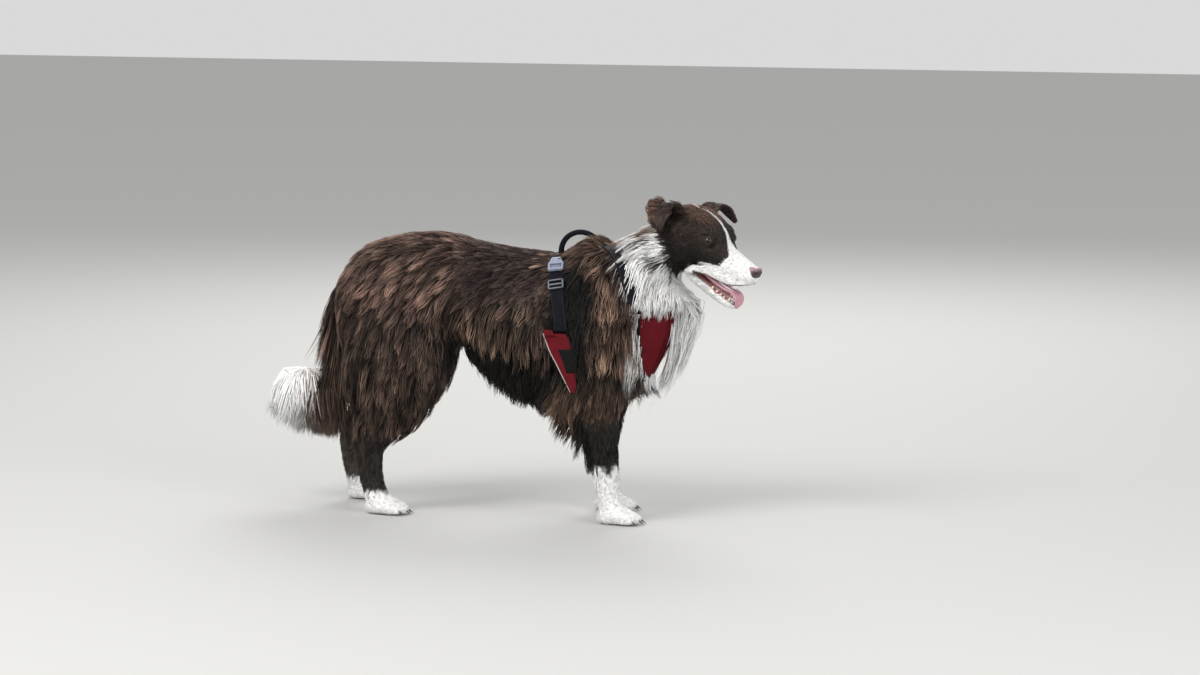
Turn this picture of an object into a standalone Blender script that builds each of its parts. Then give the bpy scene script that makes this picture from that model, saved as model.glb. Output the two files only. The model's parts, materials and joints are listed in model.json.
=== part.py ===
"""A life-size Border Collie that stands in a walking harness, as a museum model.

The dog faces +X, its right side is -Y, and its paws stand on Z = 0. The solids follow the
coat out to its tips. The body is modelled whole and parted with thin cuts, and the harness
lies in grooves that are pressed into the coat.
"""

import math

import bmesh
import bpy
import numpy as np
from mathutils import Matrix, Vector
from mathutils.bvhtree import BVHTree

# ---------------------------------------------------------------- driving sizes, in metres
COLLECTION = "border_collie"
GAP = 0.0003  # clearance between neighbouring pieces
CUT = 0.0004  # width of the thin cuts that part the body
FAR = 1.0  # reach of a cutter beyond the dog

BODY_VOXEL = 0.0075  # the grain at which lofts are grown into one body
HEAD_VOXEL = 0.0034
TAIL_VOXEL = 0.006
BODY_TRIANGLES = 1400  # how far each grown body is thinned out, before it is parted
HEAD_TRIANGLES = 530
TAIL_TRIANGLES = 240

HEAD_AT = Vector((0.395, -0.040, 0.4735))  # the palate below the eyes
HEAD_TURN = math.radians(23.5)  # to the dog's right
HEAD_DROP = math.radians(13.5)  # nose down
JAW_OPEN = math.radians(21)

STRAP_THICK = 0.003
STRAP_WIDTH = 0.026
STRAP_SINK = 0.013  # how far a strap is pressed below the tips of the coat
PANEL_THICK = 0.006
GROOVE_REACH = 0.055

EYE_RADIUS = 0.0105
EYE_AT = Vector((-0.0050, 0.0325, 0.0590))  # left eye, in the head's own frame

# ---------------------------------------------------------------- where the body is parted
PAW_TOP = 0.040
SOCK_TOP = 0.106  # where the upper foreleg, with the fringe behind it, begins
HOCK_TOP = 0.140
FRINGE_AT = {"right": 0.162, "left": 0.116}  # X ahead of the fringe behind each foreleg
NECK_BASE = Vector((0.185, 0, 0.535))  # the withers, on the slanting cut below the neck
NECK_LEAN = math.radians(-38)
CHEST_X = 0.250
CHEST_BOTTOM = 0.200
FORELEG_X = (0.096, 0.245)
FORELEG_TOP = 0.262
ELBOW_BOTTOM = 0.170  # below it a foreleg stands clear of the body on every side
FORELEG_INNER = 0.036  # half the width of the brisket between the forelegs
THIGH_TOP = Vector((-0.155, 0, 0.345))  # on the slanting cut above the thighs
THIGH_LEAN = math.radians(20)
THIGH_FRONT = 0.100  # how far ahead of THIGH_TOP the cut runs
THIGH_INNER = 0.004
PLUME_AT = Vector((-0.400, 0, 0.200))
PLUME_LEAN = math.radians(-8)

# ---------------------------------------------------------------- outlines
# Rows of a limb: x, y, z of its centre line, half width, then the two half depths of the
# section, first towards the back (trunk, neck, head) or the front (legs, bib, tail), then
# the other way.
TRUNK = (
    (-0.350, 0, 0.385, 0.030, 0.030, 0.045),
    (-0.333, 0, 0.385, 0.072, 0.078, 0.110),
    (-0.296, 0, 0.385, 0.102, 0.112, 0.140),
    (-0.250, 0, 0.390, 0.114, 0.128, 0.140),
    (-0.195, 0, 0.400, 0.117, 0.133, 0.128),
    (-0.140, 0, 0.405, 0.112, 0.131, 0.104),
    (-0.090, 0, 0.400, 0.108, 0.124, 0.098),
    (-0.040, 0, 0.390, 0.112, 0.126, 0.132),
    (0.010, 0, 0.380, 0.120, 0.131, 0.155),
    (0.060, 0, 0.370, 0.126, 0.139, 0.166),
    (0.110, 0, 0.365, 0.129, 0.150, 0.176),
    (0.160, 0, 0.365, 0.130, 0.170, 0.166),
    (0.200, 0, 0.365, 0.124, 0.150, 0.145),
    (0.245, 0, 0.365, 0.108, 0.120, 0.115),
    (0.285, 0, 0.365, 0.080, 0.085, 0.085),
    (0.310, 0, 0.365, 0.035, 0.040, 0.040),
)
NECK = (
    (0.150, 0, 0.400, 0.110, 0.110, 0.120),
    (0.205, 0, 0.440, 0.112, 0.098, 0.125),
    (0.248, -0.002, 0.478, 0.106, 0.076, 0.118),
    (0.285, -0.006, 0.508, 0.092, 0.066, 0.096),
    (0.315, -0.012, 0.530, 0.072, 0.054, 0.070),
    (0.335, -0.018, 0.542, 0.045, 0.036, 0.045),
)
BIB = (
    (0.262, -0.008, 0.490, 0.060, 0.070, 0.060),
    (0.258, -0.006, 0.455, 0.092, 0.102, 0.090),
    (0.255, -0.004, 0.415, 0.100, 0.121, 0.110),
    (0.252, 0, 0.385, 0.099, 0.117, 0.110),
    (0.250, 0, 0.345, 0.092, 0.097, 0.110),
    (0.252, 0, 0.305, 0.079, 0.079, 0.090),
    (0.258, 0, 0.268, 0.060, 0.065, 0.060),
    (0.262, 0, 0.240, 0.036, 0.040, 0.040),
    (0.262, 0, 0.226, 0.014, 0.016, 0.018),
)
FORELEG = (
    (0.165, 0.070, 0.420, 0.045, 0.060, 0.060),
    (0.170, 0.082, 0.350, 0.054, 0.072, 0.078),
    (0.176, 0.085, 0.280, 0.052, 0.066, 0.080),
    (0.182, 0.083, 0.228, 0.046, 0.054, 0.076),
    (0.189, 0.080, 0.185, 0.034, 0.038, 0.052),
    (0.193, 0.078, 0.150, 0.029, 0.030, 0.036),
    (0.195, 0.077, 0.115, 0.026, 0.028, 0.032),
    (0.198, 0.076, 0.080, 0.024, 0.025, 0.027),
    (0.201, 0.075, 0.050, 0.023, 0.023, 0.024),
    (0.206, 0.075, 0.026, 0.025, 0.024, 0.024),
    (0.209, 0.075, 0.006, 0.025, 0.022, 0.022),
)
FEATHER = (
    (0.150, 0.086, 0.250, 0.022, 0.040, 0.046),
    (0.150, 0.082, 0.200, 0.018, 0.040, 0.040),
    (0.150, 0.079, 0.155, 0.015, 0.036, 0.037),
    (0.153, 0.077, 0.115, 0.013, 0.032, 0.030),
    (0.153, 0.076, 0.086, 0.010, 0.022, 0.019),
    (0.149, 0.076, 0.070, 0.005, 0.006, 0.007),
)
HINDLEG = (
    (-0.225, 0.060, 0.430, 0.045, 0.070, 0.080),
    (-0.212, 0.078, 0.360, 0.054, 0.096, 0.112),
    (-0.205, 0.084, 0.300, 0.054, 0.106, 0.126),
    (-0.210, 0.086, 0.248, 0.050, 0.095, 0.119),
    (-0.228, 0.085, 0.200, 0.042, 0.073, 0.088),
    (-0.250, 0.083, 0.160, 0.033, 0.046, 0.052),
    (-0.264, 0.081, 0.125, 0.026, 0.031, 0.034),
    (-0.262, 0.080, 0.085, 0.023, 0.024, 0.029),
    (-0.255, 0.080, 0.050, 0.023, 0.022, 0.026),
    (-0.247, 0.080, 0.026, 0.025, 0.025, 0.028),
    (-0.243, 0.080, 0.006, 0.025, 0.022, 0.024),
)
# A paw's rows run from heel to toes, from the foot of the leg's centre line.
PAW = (
    (-0.030, 0, 0.012, 0.012, 0.010, 0.018),
    (-0.016, 0, 0.015, 0.026, 0.022, 0.024),
    (0.010, 0, 0.016, 0.030, 0.023, 0.024),
    (0.034, 0, 0.012, 0.031, 0.019, 0.020),
    (0.050, 0, 0.008, 0.027, 0.014, 0.016),
    (0.060, 0, 0.005, 0.014, 0.007, 0.010),
)
TAIL = (
    (-0.318, 0, 0.440, 0.026, 0.030, 0.026),
    (-0.330, 0, 0.405, 0.034, 0.030, 0.028),
    (-0.338, 0, 0.360, 0.038, 0.026, 0.028),
    (-0.346, 0, 0.315, 0.040, 0.024, 0.028),
    (-0.355, 0, 0.270, 0.041, 0.024, 0.034),
    (-0.364, 0, 0.225, 0.040, 0.026, 0.042),
    (-0.368, 0, 0.185, 0.036, 0.030, 0.040),
    (-0.364, 0, 0.152, 0.026, 0.026, 0.030),
    (-0.358, 0, 0.134, 0.010, 0.010, 0.012),
)
PLUME = (
    (-0.428, 0, 0.275, 0.010, 0.010, 0.012),
    (-0.432, 0, 0.265, 0.024, 0.026, 0.032),
    (-0.437, 0, 0.241, 0.034, 0.040, 0.044),
    (-0.440, 0, 0.212, 0.037, 0.045, 0.048),
    (-0.436, 0, 0.180, 0.033, 0.042, 0.043),
    (-0.424, 0, 0.155, 0.022, 0.030, 0.030),
    (-0.412, 0, 0.136, 0.008, 0.010, 0.010),
)
# The head's rows lie in its own frame: x to the nose from the palate below the eyes, z up.
SKULL = (
    (-0.122, 0, 0.052, 0.020, 0.018, 0.024),
    (-0.110, 0, 0.054, 0.044, 0.040, 0.048),
    (-0.088, 0, 0.052, 0.059, 0.056, 0.064),
    (-0.062, 0, 0.050, 0.064, 0.061, 0.070),
    (-0.036, 0, 0.047, 0.060, 0.058, 0.062),
    (-0.014, 0, 0.042, 0.047, 0.048, 0.050),
    (0.004, 0, 0.034, 0.0375, 0.034, 0.041),
    (0.020, 0, 0.027, 0.0305, 0.028, 0.036),
    (0.042, 0, 0.021, 0.0275, 0.0255, 0.032),
    (0.064, 0, 0.018, 0.0250, 0.022, 0.027),
    (0.080, 0, 0.017, 0.0215, 0.0180, 0.020),
    (0.089, 0, 0.017, 0.0150, 0.014, 0.014),
    (0.093, 0, 0.018, 0.0060, 0.006, 0.006),
)
BROW = (
    (-0.040, 0.030, 0.078, 0.016, 0.014, 0.018),
    (-0.014, 0.031, 0.076, 0.015, 0.011, 0.018),
    (0.004, 0.026, 0.067, 0.010, 0.007, 0.012),
)
# The jaw's rows are drawn for a shut mouth, and the jaw then swings open about its hinge.
JAW_HINGE = Vector((-0.045, 0, 0.004))
JAW = (
    (-0.050, 0, -0.008, 0.026, 0.010, 0.016),
    (-0.030, 0, -0.010, 0.030, 0.010, 0.016),
    (0.000, 0, -0.011, 0.026, 0.009, 0.014),
    (0.030, 0, -0.011, 0.020, 0.008, 0.013),
    (0.055, 0, -0.010, 0.016, 0.007, 0.011),
    (0.068, 0, -0.008, 0.012, 0.006, 0.008),
    (0.074, 0, -0.006, 0.006, 0.003, 0.004),
)
TONGUE = (
    (-0.020, 0, 0.002, 0.015, 0.004, 0.006),
    (0.010, 0, 0.003, 0.016, 0.0045, 0.005),
    (0.036, 0, 0.006, 0.0155, 0.0045, 0.0045),
    (0.052, 0, 0.0100, 0.014, 0.004, 0.004),
    (0.063, 0, 0.0110, 0.0130, 0.0035, 0.0035),
    (0.0715, 0, 0.0065, 0.0125, 0.003, 0.003),
    (0.075, 0, -0.002, 0.0105, 0.0028, 0.0028),
    (0.075, 0, -0.009, 0.005, 0.002, 0.002),
)
# A tooth's row: x and y on the right half of the jaw, height, radius.
LOWER_TEETH = (
    (0.062, 0.0100, 0.011, 0.0026),
    (0.044, 0.0145, 0.006, 0.0026),
    (0.032, 0.0160, 0.007, 0.0030),
    (0.016, 0.0185, 0.008, 0.0038),
)
NOSE = (
    (0.079, 0, 0.0260, 0.0080, 0.0060, 0.0060),
    (0.085, 0, 0.0255, 0.0125, 0.0085, 0.0095),
    (0.091, 0, 0.0245, 0.0135, 0.0090, 0.0110),
    (0.0955, 0, 0.0235, 0.0105, 0.0075, 0.0095),
    (0.098, 0, 0.0230, 0.0050, 0.0035, 0.0045),
)
# An ear is a leaf: rows run from its root to its tip, with half width and thickness.
EAR_RIGHT = (
    (-0.082, -0.034, 0.088, 0.022, 0.007, 0.007),
    (-0.096, -0.049, 0.103, 0.034, 0.005, 0.005),
    (-0.103, -0.061, 0.096, 0.034, 0.004, 0.004),
    (-0.101, -0.069, 0.080, 0.025, 0.004, 0.004),
    (-0.094, -0.073, 0.064, 0.014, 0.0035, 0.0035),
    (-0.088, -0.074, 0.052, 0.004, 0.0025, 0.0025),
)
EAR_LEFT = (
    (-0.072, 0.032, 0.090, 0.021, 0.007, 0.007),
    (-0.063, 0.049, 0.105, 0.022, 0.005, 0.005),
    (-0.051, 0.063, 0.102, 0.018, 0.004, 0.004),
    (-0.040, 0.072, 0.090, 0.012, 0.004, 0.004),
    (-0.030, 0.078, 0.077, 0.004, 0.0025, 0.0025),
)
# How far the left legs stand behind the right ones, by height above the floor.
LEFT_FORELEG_BACK = ((0.0, -0.050), (0.12, -0.046), (0.28, -0.012), (0.42, 0.0))
LEFT_HINDLEG_BACK = ((0.0, -0.092), (0.13, -0.086), (0.25, -0.040), (0.43, 0.0))

# ---------------------------------------------------------------- harness
GIRTH_AT_TOP = 0.084  # X where the strap crosses the spine
GIRTH_AT_SIDE = 0.122
GIRTH_CENTRE = 0.370  # height of the middle of the trunk
GIRTH_END = 94  # degrees from the spine to where each side panel takes over
GIRTH_STEPS = 19
HARNESSED = ("trunk", "chest", "neck", "upper_foreleg_right", "upper_foreleg_left")
BUCKLE_ANGLE = 34  # degrees from the spine
BUCKLE_SIZE = (0.036, 0.029, 0.008)  # along the strap, across it, thickness
SLIDER_ANGLE = 54
SLIDER_SIZE = (0.020, 0.030, 0.005)
BELLY_STRAP_X = (0.128, 0.152)
BELLY_STRAP_SINK = (0.028, 0.014)
# Rows of a side panel from the girth strap down: x, z, half width.
SIDE_PANEL = (
    (0.108, 0.354, 0.0215),
    (0.117, 0.334, 0.0240),
    (0.125, 0.314, 0.0245),
    (0.132, 0.292, 0.0200),
    (0.137, 0.270, 0.0150),
    (0.142, 0.249, 0.0100),
    (0.146, 0.230, 0.0060),
)
# Rows of the chest plate from the ruff down: z, x of its middle, half width.
CHEST_PLATE = (
    (0.394, 0.3150, 0.066),
    (0.376, 0.3120, 0.064),
    (0.357, 0.3060, 0.061),
    (0.336, 0.2980, 0.056),
    (0.314, 0.2870, 0.049),
    (0.291, 0.2740, 0.038),
    (0.264, 0.2590, 0.022),
)
CHEST_ROUNDING = 14.0  # how much the plate wraps round the chest, in 1/m
# How much wider than a strap or the plate the coat parts, down at the webbing and at its tips.
STRAP_PARTING = (0.0006, 0.003)
PLATE_PARTING = (0.003, 0.012)
PLATE_BED = 0.0020  # clearance below the plate
HANDLE_MIDDLE = (0.126, 0.498)  # X and Z between the feet of the grab handle
HANDLE_HALF_LENGTH = 0.038
HANDLE_RISE = 0.036
HANDLE_RADIUS = 0.0052

# Red, green, blue, roughness and metallic of each material.
COLOURS = {
    "brown_coat": (0.070, 0.036, 0.024, 0.75, 0.0),
    "white_coat": (0.80, 0.78, 0.75, 0.75, 0.0),
    "nose_skin": (0.12, 0.055, 0.050, 0.45, 0.0),
    "eye": (0.16, 0.07, 0.02, 0.10, 0.0),
    "tongue": (0.62, 0.22, 0.27, 0.40, 0.0),
    "black_webbing": (0.015, 0.016, 0.020, 0.80, 0.0),
    "red_fabric": (0.36, 0.008, 0.018, 0.80, 0.0),
    "buckle_plastic": (0.10, 0.11, 0.14, 0.45, 0.0),
}


# ---------------------------------------------------------------- tools
def clear_scene():
    """An empty scene with one collection for the dog."""
    for old in list(bpy.data.objects):
        bpy.data.objects.remove(old)
    bpy.context.scene.collection.children.link(bpy.data.collections.new(COLLECTION))


def make_material(name):
    red, green, blue, roughness, metallic = COLOURS[name]
    material = bpy.data.materials.new(name)
    material.use_nodes = True
    shader = material.node_tree.nodes["Principled BSDF"]
    shader.inputs["Base Color"].default_value = (red, green, blue, 1)
    shader.inputs["Roughness"].default_value = roughness
    shader.inputs["Metallic"].default_value = metallic
    return material


def new_object(name, mesh):
    made = bpy.data.objects.new(name, mesh)
    bpy.data.collections[COLLECTION].objects.link(made)
    return made


def settle(piece):
    """Makes the evaluated shape the object's own mesh, and drops its modifiers."""
    graph = bpy.context.evaluated_depsgraph_get()
    mesh = bpy.data.meshes.new_from_object(piece.evaluated_get(graph))
    piece.modifiers.clear()
    piece.data = mesh
    return piece


def triangle_count(piece):
    piece.data.calc_loop_triangles()
    return len(piece.data.loop_triangles)


def smooth_rows(rows, between):
    """Catmull-Rom curve through the rows: `between` steps from each row to the next."""
    rows = np.array(rows, float)
    padded = np.vstack([2 * rows[0] - rows[1], rows, 2 * rows[-1] - rows[-2]])
    count = (len(rows) - 1) * between + 1
    place = np.linspace(0, len(rows) - 1, count)
    start = np.minimum(place.astype(int), len(rows) - 2)
    t = (place - start)[:, None]
    before, a, b, after = (padded[start + k] for k in range(4))
    curve = 0.5 * (
        2 * a
        + (b - before) * t
        + (2 * before - 5 * a + 4 * b - after) * t**2
        + (3 * a - before - 3 * b + after) * t**3
    )
    curve[:, 3:] = np.maximum(curve[:, 3:], 0.0015)
    return curve


def loft(name, rows, sides=28, between=4, side=(0, 1, 0), squareness=2.0):
    """A closed skin over oval sections carried along the rows' centre line.

    A section's width lies along `side`, and its two depths at right angles to it.
    """
    rows = smooth_rows(rows, between)
    centres = rows[:, :3]
    tangents = np.gradient(centres, axis=0)
    tangents /= np.linalg.norm(tangents, axis=1)[:, None]
    across = np.array(side, float) - tangents * (tangents @ np.array(side, float))[:, None]
    across /= np.linalg.norm(across, axis=1)[:, None]
    upward = np.cross(tangents, across)
    angles = np.linspace(0, math.tau, sides, endpoint=False)
    cosine, sine = np.cos(angles), np.sin(angles)
    wide = np.sign(cosine) * np.abs(cosine) ** (2 / squareness)
    deep = np.sign(sine) * np.abs(sine) ** (2 / squareness)
    depth = np.where(sine > 0, rows[:, 4:5], rows[:, 5:6])
    points = (
        centres[:, None]
        + across[:, None] * (rows[:, 3:4] * wide)[..., None]
        + upward[:, None] * (depth * deep)[..., None]
    ).reshape(-1, 3)
    ring = np.arange(sides)
    following = (ring + 1) % sides
    faces = [ring[::-1], (len(rows) - 1) * sides + ring]
    for r in range(len(rows) - 1):
        near, far = r * sides, (r + 1) * sides
        faces += np.stack([near + ring, near + following, far + following, far + ring], axis=1).tolist()
    mesh = bpy.data.meshes.new(name)
    mesh.from_pydata(points.tolist(), [], [[int(i) for i in face] for face in faces])
    face_out(mesh)
    return new_object(name, mesh)


def face_out(mesh):
    """Splits the faces into triangles and turns them all outwards."""
    edit = bmesh.new()
    edit.from_mesh(mesh)
    bmesh.ops.triangulate(edit, faces=edit.faces)
    bmesh.ops.recalc_face_normals(edit, faces=edit.faces)
    edit.to_mesh(mesh)
    edit.free()


def mirrored_rows(rows):
    return [(x, -y, z, w, up, down) for x, y, z, w, up, down in rows]


def stepped_back(rows, steps):
    """The rows moved along X by an amount that depends on their height."""
    heights, moves = zip(*steps)
    return [
        (x + float(np.interp(z, heights, moves)), y, z, w, up, down)
        for x, y, z, w, up, down in rows
    ]


def joined(name, pieces):
    edit = bmesh.new()
    for piece in pieces:
        edit.from_mesh(piece.data)
        bpy.data.objects.remove(piece)
    mesh = bpy.data.meshes.new(name)
    edit.to_mesh(mesh)
    edit.free()
    return new_object(name, mesh)


def grown_together(name, pieces, voxel, rounds, triangles):
    """One smooth closed body grown from overlapping lofts."""
    whole = joined(name, pieces)
    remesh = whole.modifiers.new("grow_together", "REMESH")
    remesh.mode = "VOXEL"
    remesh.voxel_size = voxel
    soften = whole.modifiers.new("soften", "SMOOTH")
    soften.factor = 0.5
    soften.iterations = rounds
    settle(whole)
    thin_out = whole.modifiers.new("thin_out", "DECIMATE")
    thin_out.ratio = triangles / triangle_count(whole)
    thin_out.use_collapse_triangulate = True
    return settle(whole)


def box(name, low, high):
    low, high = Vector(low), Vector(high)
    edit = bmesh.new()
    bmesh.ops.create_cube(edit, size=1)
    bmesh.ops.scale(edit, vec=high - low, verts=edit.verts)
    bmesh.ops.translate(edit, vec=(low + high) / 2, verts=edit.verts)
    mesh = bpy.data.meshes.new(name)
    edit.to_mesh(mesh)
    edit.free()
    return new_object(name, mesh)


def combine(target, other, operation):
    cut = target.modifiers.new(operation.lower(), "BOOLEAN")
    cut.operation = operation
    cut.object = other
    return settle(target)


def copy_of(piece, name):
    return new_object(name, piece.data.copy())


def largest_part(piece):
    """Drops loose crumbs that a cut leaves beside the main body."""
    edit = bmesh.new()
    edit.from_mesh(piece.data)
    edit.verts.ensure_lookup_table()
    seen, groups = set(), []
    for start in edit.verts:
        if start in seen:
            continue
        seen.add(start)
        group, edge_of_group = [start], [start]
        while edge_of_group:
            for link in edge_of_group.pop().link_edges:
                for vert in link.verts:
                    if vert not in seen:
                        seen.add(vert)
                        group.append(vert)
                        edge_of_group.append(vert)
        groups.append(group)
    groups.sort(key=len)
    for group in groups[:-1]:
        bmesh.ops.delete(edit, geom=group, context="VERTS")
    edit.to_mesh(piece.data)
    edit.free()
    return piece


def part_off(whole, region, name):
    """Takes what lies in `region` off the body as a node of its own, one thin cut away."""
    node = combine(copy_of(whole, name), region, "INTERSECT")
    grow = region.modifiers.new("cut_width", "DISPLACE")
    grow.strength = CUT
    grow.mid_level = 0
    settle(region)
    combine(whole, region, "DIFFERENCE")
    bpy.data.objects.remove(region)
    return largest_part(node)


def make_room(target, piece, gap=GAP):
    """Cuts the shape of `piece`, a little larger, out of `target`."""
    cutter = copy_of(piece, "room")
    grow = cutter.modifiers.new("clearance", "DISPLACE")
    grow.strength = gap
    grow.mid_level = 0
    settle(cutter)
    combine(target, cutter, "DIFFERENCE")
    bpy.data.objects.remove(cutter)
    return largest_part(target)


def finished(piece, material):
    piece.data.materials.clear()
    piece.data.materials.append(material)
    piece.data.shade_smooth()
    piece.data.set_sharp_from_angle(angle=math.radians(50))
    return piece


# ---------------------------------------------------------------- the dog's own pieces
def head_frame():
    return (
        Matrix.Translation(HEAD_AT)
        @ Matrix.Rotation(-HEAD_TURN, 4, "Z")
        @ Matrix.Rotation(HEAD_DROP, 4, "Y")
    )


def jaw_frame():
    return (
        head_frame()
        @ Matrix.Translation(JAW_HINGE)
        @ Matrix.Rotation(JAW_OPEN, 4, "Y")
        @ Matrix.Translation(-JAW_HINGE)
    )


def placed(piece, frame):
    piece.data.transform(frame)
    return piece


def chest_forms():
    return [
        loft("trunk_form", TRUNK, squareness=2.2),
        loft("neck_form", NECK),
        loft("bib_form", BIB),
    ]


def leg_forms(rows, feather):
    """A leg with its paw, and the fringe behind it where it has one."""
    forms = [loft("leg_form", rows, sides=20)]
    foot_x, foot_y = rows[-1][:2]
    paw = [(foot_x + x, foot_y, z, w, up, down) for x, _, z, w, up, down in PAW]
    forms.append(loft("paw_form", paw, sides=20, squareness=2.4))
    if feather:
        forms.append(loft("feather_form", feather, sides=16))
    return forms


def make_body():
    """Trunk, neck, bib and legs, grown together and stood flat on the floor."""
    pieces = chest_forms()
    pieces += leg_forms(mirrored_rows(FORELEG), mirrored_rows(FEATHER))
    pieces += leg_forms(
        stepped_back(FORELEG, LEFT_FORELEG_BACK), stepped_back(FEATHER, LEFT_FORELEG_BACK)
    )
    pieces += leg_forms(mirrored_rows(HINDLEG), None)
    pieces += leg_forms(stepped_back(HINDLEG, LEFT_HINDLEG_BACK), None)
    body = grown_together("body", pieces, BODY_VOXEL, 5, BODY_TRIANGLES)
    floor = box("floor", (-FAR, -FAR, -FAR), (FAR, FAR, 0))
    combine(body, floor, "DIFFERENCE")
    bpy.data.objects.remove(floor)
    return body


def make_tail():
    """The brown tail and, past a slanting cut, the white plume at its end."""
    forms = [loft("tail_form", TAIL, sides=20), loft("plume_form", PLUME, sides=20)]
    tail = grown_together("tail", forms, TAIL_VOXEL, 3, TAIL_TRIANGLES)
    beyond = region_box((-FAR, -FAR, -FAR), (0, FAR, FAR), PLUME_AT, PLUME_LEAN)
    return tail, part_off(tail, beyond, "tail_tip")


def make_tooth(at, height, radius, frame):
    edit = bmesh.new()
    bmesh.ops.create_cone(
        edit, cap_ends=True, segments=5, radius1=radius, radius2=radius * 0.2, depth=height
    )
    mesh = bpy.data.meshes.new("tooth")
    edit.to_mesh(mesh)
    edit.free()
    return placed(new_object("tooth", mesh), frame @ Matrix.Translation(at))


def with_lower_teeth(jaw):
    """A canine and three cheek teeth on each side, joined to the jaw they grow from."""
    for side in (-1, 1):
        for x, y, height, radius in LOWER_TEETH:
            tooth = make_tooth((x, side * y, -0.004 + height * 0.3), height, radius, jaw_frame())
            combine(jaw, tooth, "UNION")
            bpy.data.objects.remove(tooth)
    return jaw


def make_ear(name, rows):
    """A leaf whose flat side faces outwards, carried along a line that folds over."""
    return placed(loft(name, rows, sides=10, between=2, side=(1.0, 0.0, 0.25)), head_frame())


def make_eye(name, side):
    edit = bmesh.new()
    bmesh.ops.create_uvsphere(edit, u_segments=10, v_segments=6, radius=EYE_RADIUS)
    mesh = bpy.data.meshes.new(name)
    edit.to_mesh(mesh)
    edit.free()
    at = (EYE_AT.x, EYE_AT.y * side, EYE_AT.z)
    return placed(new_object(name, mesh), head_frame() @ Matrix.Translation(at))


def make_head():
    """The skull with its muzzle, the jaw and tongue, and the pieces let into the head."""
    forms = [loft("skull_form", SKULL, squareness=2.15)]
    for rows in (BROW, mirrored_rows(BROW)):
        forms.append(loft("brow_form", rows, sides=16))
    head = placed(grown_together("head", forms, HEAD_VOXEL, 3, HEAD_TRIANGLES), head_frame())
    nodes = {
        "nose": placed(loft("nose", NOSE, sides=10, between=2), head_frame()),
        "ear_right": make_ear("ear_right", EAR_RIGHT),
        "ear_left": make_ear("ear_left", EAR_LEFT),
        "eye_right": make_eye("eye_right", -1),
        "eye_left": make_eye("eye_left", 1),
    }
    jaw = placed(loft("lower_jaw", JAW, sides=12, between=1, squareness=2.4), jaw_frame())
    tongue = loft("tongue", TONGUE, sides=8, between=1, squareness=2.6)
    placed(tongue, jaw_frame())
    make_room(jaw, head)
    with_lower_teeth(jaw)
    make_room(tongue, jaw)
    make_room(tongue, head)
    for name, piece in nodes.items():
        if name.startswith("eye"):
            make_room(head, piece)
        else:
            make_room(piece, head)
    nodes.update(head=head, lower_jaw=jaw, tongue=tongue)
    return nodes


def region_box(low, high, at=(0, 0, 0), lean=0.0):
    """A box whose own origin is put at `at`, leaned about Y."""
    region = box("region", low, high)
    region.data.transform(Matrix.Translation(at) @ Matrix.Rotation(lean, 4, "Y"))
    return region


def part_leg(leg, name, joints, rear_x=-FAR):
    """Cuts a leg through at each height of `joints`, from the paw upwards.

    What lies behind `rear_x`, the fringe, stays with the upper part.
    """
    nodes = {}
    for part, height in joints:
        below = region_box((rear_x, -FAR, -FAR), (FAR, FAR, height))
        nodes[f"{part}_{name}"] = part_off(leg, below, f"{part}_{name}")
    return nodes


def outward(side, inner):
    """The low and high Y of what lies on one side of the dog, beyond `inner`."""
    return sorted((side * inner, side * FAR))


def part_body(body):
    """Thin cuts between neck, trunk and legs, and through each leg at its joints."""
    nodes = {}
    neck_region = region_box((0, -FAR, -FAR), (FAR, FAR, FAR), NECK_BASE, NECK_LEAN)
    nodes["neck"] = part_off(body, neck_region, "neck")
    chest_region = region_box((CHEST_X, -FAR, CHEST_BOTTOM), (FAR, FAR, FAR))
    nodes["chest"] = part_off(body, chest_region, "chest")
    for side, name in ((-1, "right"), (1, "left")):
        low_y, high_y = outward(side, FORELEG_INNER)
        front = region_box((FORELEG_X[0], low_y, -FAR), (FORELEG_X[1], high_y, FORELEG_TOP))
        shank = region_box((0, low_y, -FAR), (FAR, high_y, ELBOW_BOTTOM))
        combine(front, shank, "UNION")
        bpy.data.objects.remove(shank)
        leg = part_off(body, front, "whole_foreleg_" + name)
        joints = (("forepaw", PAW_TOP), ("foreleg", SOCK_TOP))
        nodes.update(part_leg(leg, name, joints, FRINGE_AT[name]))
        nodes["upper_foreleg_" + name] = leg
        low_y, high_y = outward(side, THIGH_INNER)
        rear = region_box((-FAR, low_y, -FAR), (THIGH_FRONT, high_y, 0), THIGH_TOP, THIGH_LEAN)
        leg = part_off(body, rear, "whole_hindleg_" + name)
        nodes.update(part_leg(leg, name, (("hindpaw", PAW_TOP), ("hindleg", HOCK_TOP))))
        nodes["thigh_" + name] = leg
    nodes["trunk"] = largest_part(body)
    return nodes


# ---------------------------------------------------------------- the harness
def coat_finder(pieces):
    """A search tree over the coat, for laying straps on it."""
    edit = bmesh.new()
    for piece in pieces:
        edit.from_mesh(piece.data)
    tree = BVHTree.FromBMesh(edit)
    edit.free()
    return tree


def laid_on(tree, origin, direction, sink):
    """The point `sink` below the coat where `direction` leaves the body from `origin`."""
    origin, direction = Vector(origin), Vector(direction).normalized()
    hit = tree.ray_cast(origin + direction * 0.4, -direction)[0]
    if hit is None:
        raise ValueError(f"no coat found from {tuple(origin)} along {tuple(direction)}")
    return hit - direction * sink


def evened(rows, rounds):
    """Evens out the rows of a strap, whose ends stay where they are."""
    rows = np.array(rows, float)
    for _ in range(rounds):
        rows[1:-1] = (rows[:-2] + 2 * rows[1:-1] + rows[2:]) / 4
    return rows


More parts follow.
